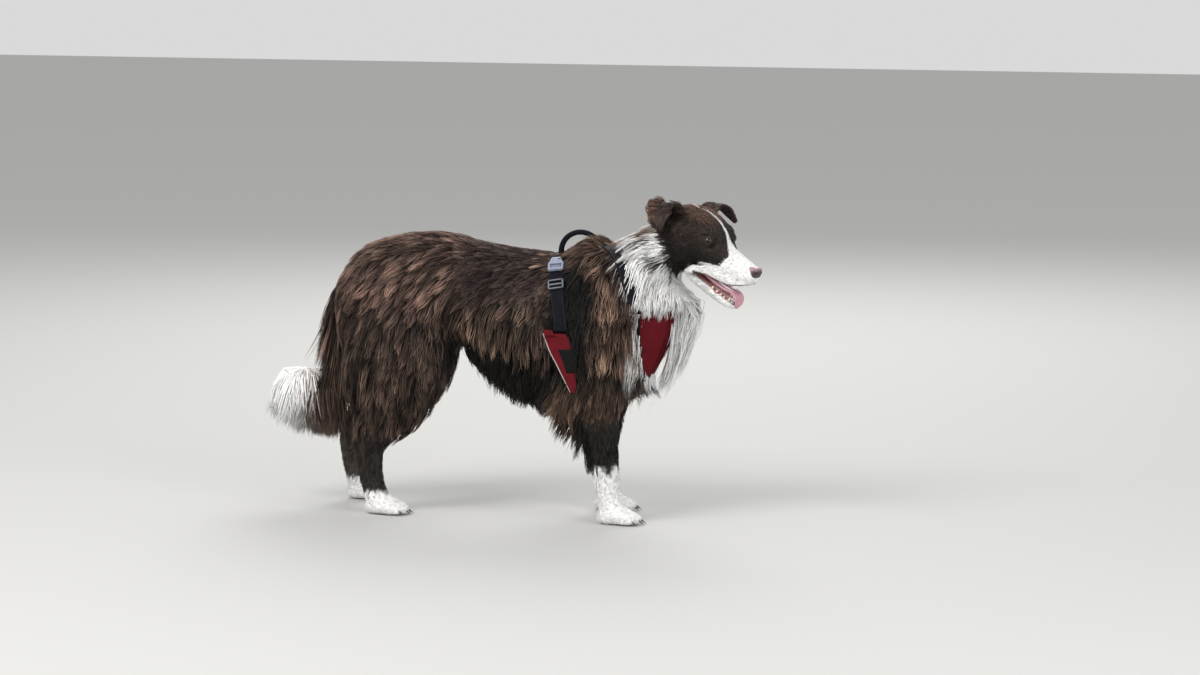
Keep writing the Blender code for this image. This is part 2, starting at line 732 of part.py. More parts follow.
def block(name, inner, outer):
    """The closed body between two grids of points, rows by columns."""
    rows, columns = inner.shape[:2]
    place = np.arange(rows * columns).reshape(rows, columns)
    top = place + rows * columns
    faces = []
    for r in range(rows - 1):
        for c in range(columns - 1):
            for side in (place, top):
                faces.append((side[r, c], side[r + 1, c], side[r + 1, c + 1]))
                faces.append((side[r, c], side[r + 1, c + 1], side[r, c + 1]))
    border = [*place[0, :-1], *place[:-1, -1], *place[-1, :0:-1], *place[:0:-1, 0]]
    for a, b in zip(border, border[1:] + border[:1]):
        faces.append((a, b, b + rows * columns, a + rows * columns))
    mesh = bpy.data.meshes.new(name)
    points = np.concatenate([inner.reshape(-1, 3), outer.reshape(-1, 3)])
    mesh.from_pydata(points.tolist(), [], [[int(i) for i in face] for face in faces])
    face_out(mesh)
    return new_object(name, mesh)


def widened(grid, by):
    """The grid with its border moved outwards, for a groove a little larger than its strap."""
    grid = grid.copy()
    for line in (grid, grid.swapaxes(0, 1)):
        for edge, inner in ((0, 1), (-1, -2)):
            away = line[edge] - line[inner]
            line[edge] += by * away / np.linalg.norm(away, axis=1)[:, None]
    return grid


class Band:
    """A strap or panel: a grid of points on its middle face, and the way out at each one."""

    def __init__(self, name, grid, out, thick):
        self.name, self.grid, self.out, self.thick = name, grid, out, thick
        self.way_out, self.parting, self.bed = out, STRAP_PARTING, GAP

    def solid(self):
        lift = self.out * self.thick / 2
        return block(self.name, self.grid - lift, self.grid + lift)

    def groove(self):
        """The cutter that presses the band into the coat and clears what lies over it."""
        below = self.out * (self.thick / 2 + self.bed)
        inner = widened(self.grid, self.parting[0]) - below
        outer = widened(self.grid, self.parting[1]) + self.way_out * GROOVE_REACH
        return block(self.name + "_groove", inner, outer)


def strap(name, middle, across, out, thick):
    """A band along the line `middle`, reaching `across` to either side of it."""
    middle, across, out = (np.array(values, float) for values in (middle, across, out))
    grid = np.stack([middle - across, middle + across], axis=1)
    return Band(name, grid, np.stack([out, out], axis=1), thick)


def girth_band(tree, name, first, last, steps, lean, sinks):
    """A band round the trunk from angle `first` to `last`: 0 is up, 90 the dog's right.

    `lean` holds its X at the middle of the body and at the sides, and `sinks` how deep it
    is pressed in at each.
    """
    middle, out = [], []
    for angle in np.linspace(first, last, steps):
        turn = math.radians(angle)
        sideways = abs((angle + 90) % 180 - 90) / 90
        x = lean[0] + (lean[1] - lean[0]) * sideways
        sink = sinks[0] + (sinks[1] - sinks[0]) * sideways
        direction = (0, -math.sin(turn), math.cos(turn))
        middle.append(laid_on(tree, (x, 0, GIRTH_CENTRE), direction, sink))
        out.append(direction)
    across = np.tile((STRAP_WIDTH / 2, 0, 0), (steps, 1))
    return strap(name, evened(middle, 2), across, out, STRAP_THICK)


def neck_band(tree, name, side, steps=12):
    """From the withers down round the base of the neck to the corner of the chest plate."""
    middle, out = [], []
    for t in np.linspace(0, 1, steps):
        turn = math.radians(14 + 84 * t)
        direction = (0.10 + 0.62 * t, side * math.sin(turn), math.cos(turn) + 0.05)
        origin = (0.175 + 0.030 * t, 0, 0.430 - 0.028 * t)
        middle.append(laid_on(tree, origin, direction, STRAP_SINK + 0.004 + 0.006 * t))
        out.append(Vector(direction).normalized())
    middle = evened(middle, 3)
    across = np.cross(np.gradient(middle, axis=0), np.array(out))
    across *= STRAP_WIDTH / 2 / np.linalg.norm(across, axis=1)[:, None]
    return strap(name, middle, across, out, STRAP_THICK)


def side_band(tree, name, side):
    """The padded panel under the girth strap, which tapers down and forwards to the belly."""
    middle, out, across = [], [], []
    for x, z, half in SIDE_PANEL:
        direction = (0, side * 0.135, z - GIRTH_CENTRE)
        middle.append(laid_on(tree, (x, 0, GIRTH_CENTRE), direction, STRAP_SINK + 0.002))
        out.append(Vector(direction).normalized())
        across.append((half, 0, 0))
    return strap(name, evened(middle, 1), across, out, PANEL_THICK)


def chest_band(columns=7):
    """The padded shield on the breast, wrapped round it and narrowing towards the legs."""
    rows = np.array(CHEST_PLATE)
    spread = np.linspace(-1, 1, columns)
    y = rows[:, 2:3] * spread[None]
    x = rows[:, 1:2] - CHEST_ROUNDING * y**2
    z = np.repeat(rows[:, 0:1], columns, axis=1)
    out = np.stack([np.ones_like(y), 2 * CHEST_ROUNDING * y, -0.25 * np.ones_like(y)], axis=2)
    out /= np.linalg.norm(out, axis=2)[:, :, None]
    plate = Band("harness_chest_plate", np.stack([x, y, z], axis=2), out, PANEL_THICK)
    plate.way_out, plate.parting, plate.bed = out.copy(), PLATE_PARTING, PLATE_BED
    plate.way_out[:, :, 1] *= np.where(y > 0, 0.2, 1.0)  # the coat of the left side hangs past it
    return plate


def mesh_of_curve(name, curve):
    """The curve's solid as a mesh object, its end caps welded to its wall."""
    guide = new_object(name + "_curve", curve)
    graph = bpy.context.evaluated_depsgraph_get()
    mesh = bpy.data.meshes.new_from_object(guide.evaluated_get(graph))
    bpy.data.objects.remove(guide)
    edit = bmesh.new()
    edit.from_mesh(mesh)
    bmesh.ops.remove_doubles(edit, verts=edit.verts, dist=0.00001)
    bmesh.ops.recalc_face_normals(edit, faces=edit.faces)
    edit.to_mesh(mesh)
    edit.free()
    return new_object(name, mesh)


def make_handle():
    """A grab loop of tubular webbing over the withers, in line with the spine."""
    curve = bpy.data.curves.new("harness_handle", "CURVE")
    curve.dimensions = "3D"
    curve.bevel_depth = HANDLE_RADIUS
    curve.bevel_resolution = 1
    curve.use_fill_caps = True
    spline = curve.splines.new("POLY")
    turns = np.linspace(-0.10 * math.pi, 1.10 * math.pi, 17)
    middle_x, middle_z = HANDLE_MIDDLE
    spline.points.add(len(turns) - 1)
    for point, turn in zip(spline.points, turns):
        x = middle_x - HANDLE_HALF_LENGTH * math.cos(turn)
        point.co = (x, 0, middle_z + HANDLE_RISE * math.sin(turn), 1)
    return mesh_of_curve("harness_handle", curve)


def make_buckle(name, band, angle, size):
    """A moulded buckle on the girth strap, `angle` degrees from the spine."""
    row = int(np.argmin(np.abs(np.linspace(-GIRTH_END, GIRTH_END, len(band.grid)) - angle)))
    middle = band.grid.mean(axis=1)
    along = middle[row + 1] - middle[row - 1]
    out = np.cross(along, (1.0, 0.0, 0.0))
    if out @ band.out[row, 1] < 0:
        out = -out
    axes = [v / np.linalg.norm(v) for v in (along, np.cross(out, along), out)]
    turn = Matrix([[axes[c][r] for c in range(3)] for r in range(3)]).to_4x4()
    place = Vector(middle[row]) + Vector(axes[2]) * (STRAP_THICK / 2 + size[2] / 2 + GAP * 3)
    half = Vector(size) / 2
    buckle = box(name, -half, half)
    bevel = buckle.modifiers.new("round", "BEVEL")
    bevel.width = size[2] * 0.3
    bevel.segments = 1
    settle(buckle)
    return placed(buckle, Matrix.Translation(place) @ turn)


def lay_band(band, grooved, laid, nodes):
    """Presses a band into the coat of the nodes in `grooved`, clear of the bands laid before."""
    solid = band.solid()
    for other in laid.values():
        make_room(solid, other)
    for name in grooved:
        cutter = band.groove()
        combine(nodes[name], cutter, "DIFFERENCE")
        bpy.data.objects.remove(cutter)
        largest_part(nodes[name])
    for name in HARNESSED:
        if name not in grooved:
            make_room(nodes[name], solid)
    laid[band.name] = solid


def make_harness(coat, chest, nodes):
    """Every piece of the harness, let into the coat of `nodes`."""
    girth = girth_band(
        coat,
        "harness_girth_strap",
        -GIRTH_END,
        GIRTH_END,
        GIRTH_STEPS,
        (GIRTH_AT_TOP, GIRTH_AT_SIDE),
        (STRAP_SINK, STRAP_SINK),
    )
    belly = girth_band(
        chest, "harness_belly_strap", 137, 223, 11, BELLY_STRAP_X, BELLY_STRAP_SINK
    )
    pieces = {}
    lay_band(girth, ("trunk",), pieces, nodes)
    for side, name in ((-1, "right"), (1, "left")):
        panel = side_band(coat, "harness_side_panel_" + name, side)
        lay_band(panel, ("trunk", "upper_foreleg_" + name), pieces, nodes)
    lay_band(chest_band(), ("trunk", "chest"), pieces, nodes)
    for side, name in ((-1, "right"), (1, "left")):
        collar = neck_band(coat, "harness_neck_strap_" + name, side)
        lay_band(collar, ("trunk", "neck", "chest"), pieces, nodes)
    lay_band(belly, (), pieces, nodes)
    trim = {"harness_handle": make_handle()}
    for name, sign in (("right", 1), ("left", -1)):
        trim["harness_buckle_" + name] = make_buckle("buckle", girth, sign * BUCKLE_ANGLE, BUCKLE_SIZE)
        trim["harness_slider_" + name] = make_buckle("slider", girth, sign * SLIDER_ANGLE, SLIDER_SIZE)
    for piece in trim.values():
        make_room(piece, pieces["harness_girth_strap"])
        make_room(nodes["trunk"], piece)
    pieces.update(trim)
    return pieces


# ---------------------------------------------------------------- assembly
WHITE_NODES = ("neck", "chest", "tail_tip", "lower_jaw")
OTHER_MATERIALS = {"nose": "nose_skin", "tongue": "tongue", "eye_right": "eye", "eye_left": "eye"}


def material_for(name):
    if name in OTHER_MATERIALS:
        return OTHER_MATERIALS[name]
    if name.startswith("harness"):
        if "panel" in name or "plate" in name:
            return "red_fabric"
        return "buckle_plastic" if "buckle" in name or "slider" in name else "black_webbing"
    white = name in WHITE_NODES or "paw" in name or name.startswith("foreleg")
    return "white_coat" if white else "brown_coat"


def main():
    clear_scene()
    materials = {name: make_material(name) for name in COLOURS}
    body = make_body()
    forms = chest_forms()
    coat, chest = coat_finder([body]), coat_finder(forms)
    for form in forms:
        bpy.data.objects.remove(form)
    tail, tail_tip = make_tail()
    nodes = make_head()
    for piece in (tail, tail_tip, *nodes.values()):
        make_room(body, piece)
    nodes.update(tail=tail, tail_tip=tail_tip)
    nodes.update(part_body(body))
    nodes.update(make_harness(coat, chest, nodes))
    for name, piece in nodes.items():
        piece.name = name
        finished(piece, materials[material_for(name)])


main()
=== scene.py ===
# %% [markdown]
# # A Border Collie in a walking harness
#
# This lesson dresses a plain solid model of a standing dog. One soft skin is grown from lofts, a
# long coat is combed over it lock by lock, and the harness is sewn on top. The solid model comes
# first: it is the frame that everything else has to fit.

# %% Load the frame
import json
import math

import bmesh
import bpy
import numpy as np
from mathutils import Matrix, Vector
from mathutils.bvhtree import BVHTree
from mathutils.kdtree import KDTree

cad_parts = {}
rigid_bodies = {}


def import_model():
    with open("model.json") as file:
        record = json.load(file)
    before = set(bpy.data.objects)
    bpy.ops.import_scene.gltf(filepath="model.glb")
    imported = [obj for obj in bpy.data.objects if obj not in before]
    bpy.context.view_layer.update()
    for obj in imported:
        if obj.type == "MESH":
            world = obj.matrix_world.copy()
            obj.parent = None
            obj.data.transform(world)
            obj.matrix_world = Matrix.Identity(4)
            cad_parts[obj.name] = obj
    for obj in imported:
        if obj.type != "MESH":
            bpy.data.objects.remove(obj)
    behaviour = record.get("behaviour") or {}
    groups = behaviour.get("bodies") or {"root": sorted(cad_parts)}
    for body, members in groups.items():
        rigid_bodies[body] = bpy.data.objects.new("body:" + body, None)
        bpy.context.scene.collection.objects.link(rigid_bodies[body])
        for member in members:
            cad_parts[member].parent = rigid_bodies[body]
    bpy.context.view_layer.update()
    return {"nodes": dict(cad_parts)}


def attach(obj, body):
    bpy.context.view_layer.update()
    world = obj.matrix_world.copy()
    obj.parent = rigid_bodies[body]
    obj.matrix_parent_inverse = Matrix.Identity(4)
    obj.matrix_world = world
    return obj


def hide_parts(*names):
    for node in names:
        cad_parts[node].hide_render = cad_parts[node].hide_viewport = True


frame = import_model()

RNG = np.random.default_rng(11)

# %% [markdown]
# ## Camera, floor and lights
#
# The dog stands side-on, seen a little from its front and a little from above. A long lens from
# eight metres keeps its proportions flat and true. Two big soft lamps and a pale world give the
# even light of a studio: the key is high on the camera's left, and the fill keeps the dark coat
# from going black.

# %% Camera
VIEW_TURN = math.radians(16)
VIEW_RISE = math.radians(7)
VIEW_DISTANCE = 8.0
LENS = 127.44
AIM_RIGHT, AIM_UP = 0.1564, 0.3297  # the view's centre, from the point on the floor under the dog


def linked(name, data):
    """A new object of that data, in the scene."""
    made = bpy.data.objects.new(name, data)
    bpy.context.scene.collection.objects.link(made)
    return made


level = math.cos(VIEW_RISE)
back = Vector((math.sin(VIEW_TURN) * level, -math.cos(VIEW_TURN) * level, math.sin(VIEW_RISE)))
right = Vector((math.cos(VIEW_TURN), math.sin(VIEW_TURN), 0))
up = back.cross(right)
camera_data = bpy.data.cameras.new("camera")
camera_data.lens = LENS
camera_data.sensor_width = 36
camera_data.clip_end = 60
camera = linked("camera", camera_data)
turned = Matrix([[right[i], up[i], back[i], 0] for i in range(3)] + [[0, 0, 0, 1]])
camera.matrix_world = Matrix.Translation(right * AIM_RIGHT + up * AIM_UP + back * VIEW_DISTANCE) @ turned
bpy.context.scene.camera = camera
print("camera at", [round(v, 2) for v in camera.matrix_world.translation])


# %% Material tools
class Surface:
    """A new material, with short calls for building its nodes."""

    def __init__(self, name, colour, roughness, specular=0.5, coat=0.0, coat_roughness=0.03):
        self.material = bpy.data.materials.new(name)
        self.material.use_nodes = True
        self.tree = self.material.node_tree
        self.sockets = self.tree.nodes["Principled BSDF"].inputs
        self.sockets["Base Color"].default_value = (*colour, 1)
        self.sockets["Roughness"].default_value = roughness
        self.sockets["Specular IOR Level"].default_value = specular
        self.sockets["Coat Weight"].default_value = coat
        self.sockets["Coat Roughness"].default_value = coat_roughness

    def add(self, kind, **settings):
        node = self.tree.nodes.new("ShaderNode" + kind)
        for key, value in settings.items():
            setattr(node, key, value)
        return node

    def feed(self, target, source):
        """Links a socket, or sets a number or a colour."""
        if isinstance(source, (int, float)):
            target.default_value = source
        elif isinstance(source, tuple):
            target.default_value = (*source, 1)
        else:
            self.tree.links.new(source, target)

    def look(self, colour=None, roughness=None):
        """What the shader takes its colour and its roughness from."""
        for socket, source in (("Base Color", colour), ("Roughness", roughness)):
            if source is not None:
                self.feed(self.sockets[socket], source)

    def stored(self, name, output="Fac"):
        """A value that the mesh stores for each of its points."""
        return self.add("Attribute", attribute_name=name).outputs[output]

    def math(self, operation, a, b=0.0):
        node = self.add("Math", operation=operation)
        self.feed(node.inputs[0], a)
        self.feed(node.inputs[1], b)
        return node.outputs[0]

    def place(self, scale=(1, 1, 1), turn=(0, 0, 0), uv=None):
        """Object coordinates, or a UV map, through a Mapping node."""
        mapping = self.add("Mapping")
        mapping.inputs["Scale"].default_value = scale
        mapping.inputs["Rotation"].default_value = turn
        source = self.add("UVMap", uv_map=uv).outputs[0] if uv else self.add("TexCoord").outputs["Object"]
        self.feed(mapping.inputs[0], source)
        return mapping.outputs[0]

    def noise(self, where, scale, detail=2.0):
        node = self.add("TexNoise")
        node.inputs["Scale"].default_value = scale
        node.inputs["Detail"].default_value = detail
        self.feed(node.inputs["Vector"], where)
        return node.outputs["Fac"]

    def spread(self, value, to_low, to_high, low=0.3, high=0.7):
        """The value's range from low to high, stretched to another."""
        node = self.add("MapRange")
        for slot, number in zip(list(node.inputs)[1:5], (low, high, to_low, to_high)):
            slot.default_value = number
        self.feed(node.inputs["Value"], value)
        return node.outputs[0]

    def mixed(self, kind, factor, a, b):
        node = self.add("Mix", data_type="RGBA", blend_type=kind)
        for name, source in (("Factor", factor), ("A", a), ("B", b)):
            self.feed(node.inputs[name], source)
        return node.outputs["Result"]

    def tint(self, colour, value, strength=1.0):
        """The colour multiplied by a grey value."""
        return self.mixed("MULTIPLY", strength, colour, value)

    def blend(self, factor, a, b):
        return self.mixed("MIX", factor, a, b)

    def bump(self, height, distance, strength=1.0):
        node = self.add("Bump")
        node.inputs["Distance"].default_value = distance
        node.inputs["Strength"].default_value = strength
        self.feed(node.inputs["Height"], height)
        self.feed(self.sockets["Normal"], node.outputs[0])


# %% Floor and lights
def lamp(name, at, size, watts, colour):
    """A square soft lamp that looks at the middle of the dog."""
    light = bpy.data.lights.new(name, "AREA")
    light.size, light.energy, light.color = size, watts, colour
    towards = (Vector((0, 0, 0.3)) - Vector(at)).to_track_quat("-Z", "Y")
    linked(name, light).matrix_world = Matrix.Translation(at) @ towards.to_matrix().to_4x4()


FLOOR_REACH = 14.0
floor_mesh = bpy.data.meshes.new("studio_floor")
corners = [(x * FLOOR_REACH, y * FLOOR_REACH, 0) for x, y in ((-1, -1), (1, -1), (1, 1), (-1, 1))]
floor_mesh.from_pydata(corners, [], [(0, 1, 2, 3)])
floor_mesh.materials.append(Surface("pale_floor", (0.50, 0.50, 0.49), 0.8).material)
linked("studio_floor", floor_mesh)
lamp("key_lamp", (-1.6, -3.0, 3.4), 2.2, 150, (1.0, 0.98, 0.95))
lamp("front_lamp", (3.2, -2.2, 1.8), 2.0, 50, (1.0, 1.0, 0.99))
lamp("rim_lamp", (-0.5, 3.4, 2.8), 2.4, 80, (1.0, 0.99, 0.97))
world = bpy.data.worlds.new("studio")
bpy.context.scene.world = world
world.use_nodes = True
world.node_tree.nodes["Background"].inputs["Color"].default_value = (0.87, 0.87, 0.87, 1)
world.node_tree.nodes["Background"].inputs["Strength"].default_value = 0.80
bpy.context.scene.view_settings.view_transform = "Standard"
print("three lamps and a floor", 2 * FLOOR_REACH, "m wide")

# %% [markdown]
# ## Lofts
#
# Every limb is drawn as a few oval sections along a centre line, and a smooth curve through them
# gives the rest. A section is a row: x, y, z of its centre, half its width, and its two half
# depths, first towards the back (trunk, neck, head) or the front (legs, bib, tail), then the
# other way, all in millimetres. The rows below are those of the solid model, out to the tips of
# the coat. The skin uses the same rows made thinner by the depth of the hair, so coat and skin
# always agree.


# %% Loft tools
def mm(*rows):
    """Rows given in millimetres, as an array in metres."""
    return np.array(rows, float) / 1000


def curve_rows(rows, between):
    """Catmull-Rom curve through the rows, `between` steps from each to the next."""
    padded = np.vstack([2 * rows[0] - rows[1], rows, 2 * rows[-1] - rows[-2]])
    place = np.linspace(0, len(rows) - 1, (len(rows) - 1) * between + 1)
    start = np.minimum(place.astype(int), len(rows) - 2)
    t = (place - start)[:, None]
    before, a, b, after = (padded[start + k] for k in range(4))
    bend = (2 * before - 5 * a + 4 * b - after) * t**2 + (3 * a - before - 3 * b + after) * t**3
    return 0.5 * (2 * a + (b - before) * t + bend)


def columns(*parts):
    """Arrays and numbers side by side, as the columns of one table."""
    return np.stack(np.broadcast_arrays(*parts), axis=-1)


def unit(vectors):
    return vectors / np.maximum(np.linalg.norm(vectors, axis=-1, keepdims=True), 1e-12)


def oval(sides, power):
    """A super-ellipse: cos and sin of the turn, each raised to 2/power."""
    turns = np.linspace(0, math.tau, sides, endpoint=False)
    return [np.sign(f) * np.abs(f) ** (2 / power) for f in (np.cos(turns), np.sin(turns))]


def tube_grid(rows, sides=32, between=5, side=(0, 1, 0), squareness=2.0):
    """Rings of a loft: centre + across * w * cos(a) + upward * d * sin(a), a super-ellipse."""
    rows = curve_rows(rows, between)
    rows[:, 3:] = np.maximum(rows[:, 3:], 0.0012)
    centres = rows[:, :3]
    along = unit(np.gradient(centres, axis=0))
    across = unit(np.array(side, float) - along * (along @ np.array(side, float))[:, None])
    upward = np.cross(along, across)
    wide, deep = oval(sides, squareness)
    depth = np.where(deep > 0, rows[:, 4:5], rows[:, 5:6])
    flat = across[:, None] * (rows[:, 3:4] * wide)[..., None]
    return centres[:, None] + flat + upward[:, None] * (depth * deep)[..., None]


def mesh_object(name, points, faces):
    """A mesh from arrays of points and faces, its faces turned outwards."""
    mesh = bpy.data.meshes.new(name)
    mesh.from_pydata(np.asarray(points).tolist(), [], [list(map(int, f)) for f in faces])
    edit = bmesh.new()
    edit.from_mesh(mesh)
    bmesh.ops.recalc_face_normals(edit, faces=edit.faces)
    edit.to_mesh(mesh)
    edit.free()
    mesh.shade_smooth()
    return linked(name, mesh)


def closed_tube(name, grid):
    """The closed skin over a grid of rings: quads round it, and a fan on each end."""
    rings, sides = grid.shape[:2]
    place = np.arange(rings * sides).reshape(rings, sides)
    after = np.roll(place, -1, axis=1)
    quads = np.stack([place[:-1], after[:-1], after[1:], place[1:]], axis=-1).reshape(-1, 4)
    first, last = rings * sides, rings * sides + 1
    fans = [(first, b, a) for a, b in zip(place[0], after[0])]
    fans += [(last, a, b) for a, b in zip(place[-1], after[-1])]
    ends = np.stack([grid[0].mean(axis=0), grid[-1].mean(axis=0)])
    return mesh_object(name, np.vstack([grid.reshape(-1, 3), ends]), [*quads.tolist(), *fans])


def loft(rows, drawn_in=None, **how):
    """A closed loft, carried from the frame it is drawn in."""
    piece = closed_tube("form", tube_grid(rows, **how))
    if drawn_in:
        piece.data.transform(drawn_in)
    return piece


# %% [markdown]
# A few more tools turn overlapping lofts into one body: their meshes are joined, grown together
# by a voxel remesh, smoothed, and cut or welded where they meet. The last one dresses a finished
# piece: it gives it its material and its body, and hides the solids of the frame that it stands for.


# %% Body tools
def settled(piece):
    """Bakes the modifiers into the object's own mesh."""
    mesh = bpy.data.meshes.new_from_object(piece.evaluated_get(bpy.context.evaluated_depsgraph_get()))
    piece.modifiers.clear()
    piece.data = mesh
    return piece


def softened(piece, factor, rounds):
    """Each point moved by a factor towards the mean of its neighbours, in rounds."""
    soften = piece.modifiers.new("soften", "SMOOTH")
    soften.factor, soften.iterations = factor, rounds
    return settled(piece)


def joined(name, pieces):
    """Several meshes as one object."""
    edit = bmesh.new()
    for piece in pieces:
        edit.from_mesh(piece.data)
        bpy.data.objects.remove(piece)
    mesh = bpy.data.meshes.new(name)
    edit.to_mesh(mesh)
    edit.free()
    return linked(name, mesh)


def grown_together(name, pieces, voxel, rounds):
    """One smooth closed body grown from overlapping lofts."""
    whole = joined(name, pieces)
    remesh = whole.modifiers.new("grow_together", "REMESH")
    remesh.mode = "VOXEL"
    remesh.voxel_size = voxel
    return softened(whole, 0.5, rounds)


def combined(target, other, operation):
    """Joins or cuts two closed meshes, and removes the second."""
    cut = target.modifiers.new(operation.lower(), "BOOLEAN")
    cut.operation, cut.solver, cut.object = operation, "MANIFOLD", other
    settled(target)
    bpy.data.objects.remove(other)
    return target


def dressed(piece, surface, *nodes, slot=None):
    """Gives a piece its material and its body, and hides the solids that it stands for."""
    piece.data.materials.clear()
    piece.data.materials.append(surface.material)
    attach(piece, "root")
    if nodes:
        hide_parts(*nodes)
    return piece


# %% The coat's outline
TRUNK = mm(
    (-350, 0, 385, 30, 30, 45), (-333, 0, 385, 72, 78, 110), (-296, 0, 385, 102, 112, 140),
    (-250, 0, 390, 114, 128, 140), (-195, 0, 400, 117, 133, 128), (-140, 0, 405, 112, 131, 104),
    (-90, 0, 400, 108, 124, 98), (-40, 0, 390, 112, 126, 132), (10, 0, 380, 120, 131, 155),
    (60, 0, 370, 126, 139, 166), (110, 0, 365, 129, 150, 176), (160, 0, 365, 130, 170, 166),
    (200, 0, 365, 124, 150, 145), (245, 0, 365, 108, 120, 115), (285, 0, 365, 80, 85, 85),
    (310, 0, 365, 35, 40, 40),
)
NECK = mm(
    (150, 0, 400, 110, 110, 120), (205, 0, 440, 112, 98, 125), (248, -2, 478, 106, 76, 118),
    (285, -6, 508, 92, 66, 96), (315, -12, 530, 72, 54, 70), (335, -18, 542, 45, 36, 45),
)
BIB = mm(
    (262, -8, 490, 60, 70, 60), (258, -6, 455, 92, 102, 90), (255, -4, 415, 100, 121, 110),
    (252, 0, 385, 99, 117, 110), (250, 0, 345, 92, 97, 110), (252, 0, 305, 79, 79, 90),
    (258, 0, 268, 60, 65, 60), (262, 0, 240, 36, 40, 40), (262, 0, 226, 14, 16, 18),
)
FORELEG = mm(
    (165, 70, 420, 45, 60, 60), (170, 82, 350, 54, 72, 78), (176, 85, 280, 52, 66, 80),
    (182, 83, 228, 46, 54, 76), (189, 80, 185, 34, 38, 52), (193, 78, 150, 29, 30, 36),
    (195, 77, 115, 26, 28, 32), (198, 76, 80, 24, 25, 27), (201, 75, 50, 23, 23, 24),
    (206, 75, 26, 25, 24, 24), (209, 75, 6, 25, 22, 22),
)
HINDLEG = mm(
    (-225, 60, 430, 45, 70, 80), (-212, 78, 360, 54, 96, 112), (-205, 84, 300, 54, 106, 126),
    (-210, 86, 248, 50, 95, 119), (-228, 85, 200, 42, 73, 88), (-250, 83, 160, 33, 46, 52),
    (-264, 81, 125, 26, 31, 34), (-262, 80, 85, 23, 24, 29), (-255, 80, 50, 23, 22, 26),
    (-247, 80, 26, 25, 25, 28), (-243, 80, 6, 25, 22, 24),
)
# How far the left legs stand behind the right ones, by height above the floor.
LEFT_FORELEG_BACK = ((0.0, -0.050), (0.12, -0.046), (0.28, -0.012), (0.42, 0.0))
LEFT_HINDLEG_BACK = ((0.0, -0.092), (0.13, -0.086), (0.25, -0.040), (0.43, 0.0))


def on_side(rows, side, steps=((0, 0), (1, 0))):
    """The rows of a leg: mirrored for the right, or stepped back by height for the left."""
    rows = rows.copy()
    rows[:, 0] += np.interp(rows[:, 2], *zip(*steps)) * (side > 0)
    rows[:, 1] *= side
    return rows


def thinned(rows, across, upward, downward, least=0.010):
    """The rows less the depth of the coat on their sides, and on their two faces."""
    rows = rows.copy()
    for column, depth in ((3, across), (4, upward), (5, downward)):
        rows[:, column] = np.maximum(rows[:, column] - depth, least)
    return rows


def legs(foreleg, hindleg):
    both = ((foreleg, LEFT_FORELEG_BACK), (hindleg, LEFT_HINDLEG_BACK))
    return [loft(on_side(rows, side, steps), sides=24) for rows, steps in both for side in (-1, 1)]


COAT_VOXEL, COAT_ROUNDS = 0.0075, 5
forms = [loft(TRUNK, squareness=2.2), loft(NECK), loft(BIB), *legs(FORELEG, HINDLEG)]
coat_form = grown_together("coat_form", forms, COAT_VOXEL, COAT_ROUNDS)
print("coat outline:", len(coat_form.data.polygons), "faces")

# %% [markdown]
# ## The body's skin
#
# Under the hair a collie is a slim dog: the ruff is 4 cm deep, the trousers 3 cm, while the shins
# wear only a few millimetres of smooth hair. Thinning the rows by those depths gives a lean body.
# The paws get a toe each for their four digits, and the dock of the tail runs on inside its plume.

# %% Body skin
BODY_VOXEL = 0.0050
foreleg_coat = np.interp(FORELEG[:, 2], (0.08, 0.15, 0.20, 0.28), (0.0022, 0.004, 0.010, 0.018))
hindleg_coat = np.interp(HINDLEG[:, 2], (0.10, 0.14, 0.19, 0.27), (0.0022, 0.004, 0.012, 0.020))
bib_coat = np.array((0.045, 0.045, 0.045, 0.056, 0.064, 0.064, 0.064))
TAIL_CORE = mm(
    (-300, 0, 448, 20, 20, 20), (-326, 0, 415, 18, 18, 18), (-338, 0, 360, 17, 15, 15),
    (-347, 0, 310, 16, 13, 14), (-356, 0, 270, 15, 12, 13), (-372, 0, 236, 14, 12, 12),
    (-394, 0, 240, 15, 14, 13), (-416, 0, 247, 19, 16, 14), (-438, 0, 243, 19, 16, 14),
    (-455, 0, 226, 12, 10, 12),
)
PAW = mm(
    (-28, 0, 12, 12, 10, 12), (-14, 0, 14, 21, 19, 14), (8, 0, 15, 26, 21, 15), (26, 0, 13, 26, 16, 13),
    (36, 0, 10, 20, 8, 10),
)
# A toe's row: how far aside it stands, how far forward its tip reaches, its half width.
TOES = mm((-20.5, 43, 8.5), (-7.2, 53, 9), (7.2, 53, 9), (20.5, 43, 8.5))


def toe_rows(aside, reach, half):
    """A bent toe: up over its middle joint, and down to its tip."""
    return np.array((
        (reach - 0.040, aside * 0.80, 0.016, half * 0.8, 0.010, 0.014),
        (reach - 0.026, aside * 0.90, 0.017, half, 0.010, 0.015),
        (reach - 0.014, aside, 0.014, half, 0.009, 0.0135),
        (reach - 0.004, aside * 1.02, 0.010, half * 0.9, 0.007, 0.0095),
        (reach + 0.002, aside * 1.02, 0.008, half * 0.5, 0.003, 0.005),
    ))


def foot_place(rows, side, steps):
    """Where a leg meets its paw."""
    return Vector(on_side(rows, side, steps)[-1][:3]) * Vector((1, 1, 0))


def shifted(rows, by):
    """The rows with their centres moved."""
    rows = rows.copy()
    rows[:, :3] += np.array(by)
    return rows


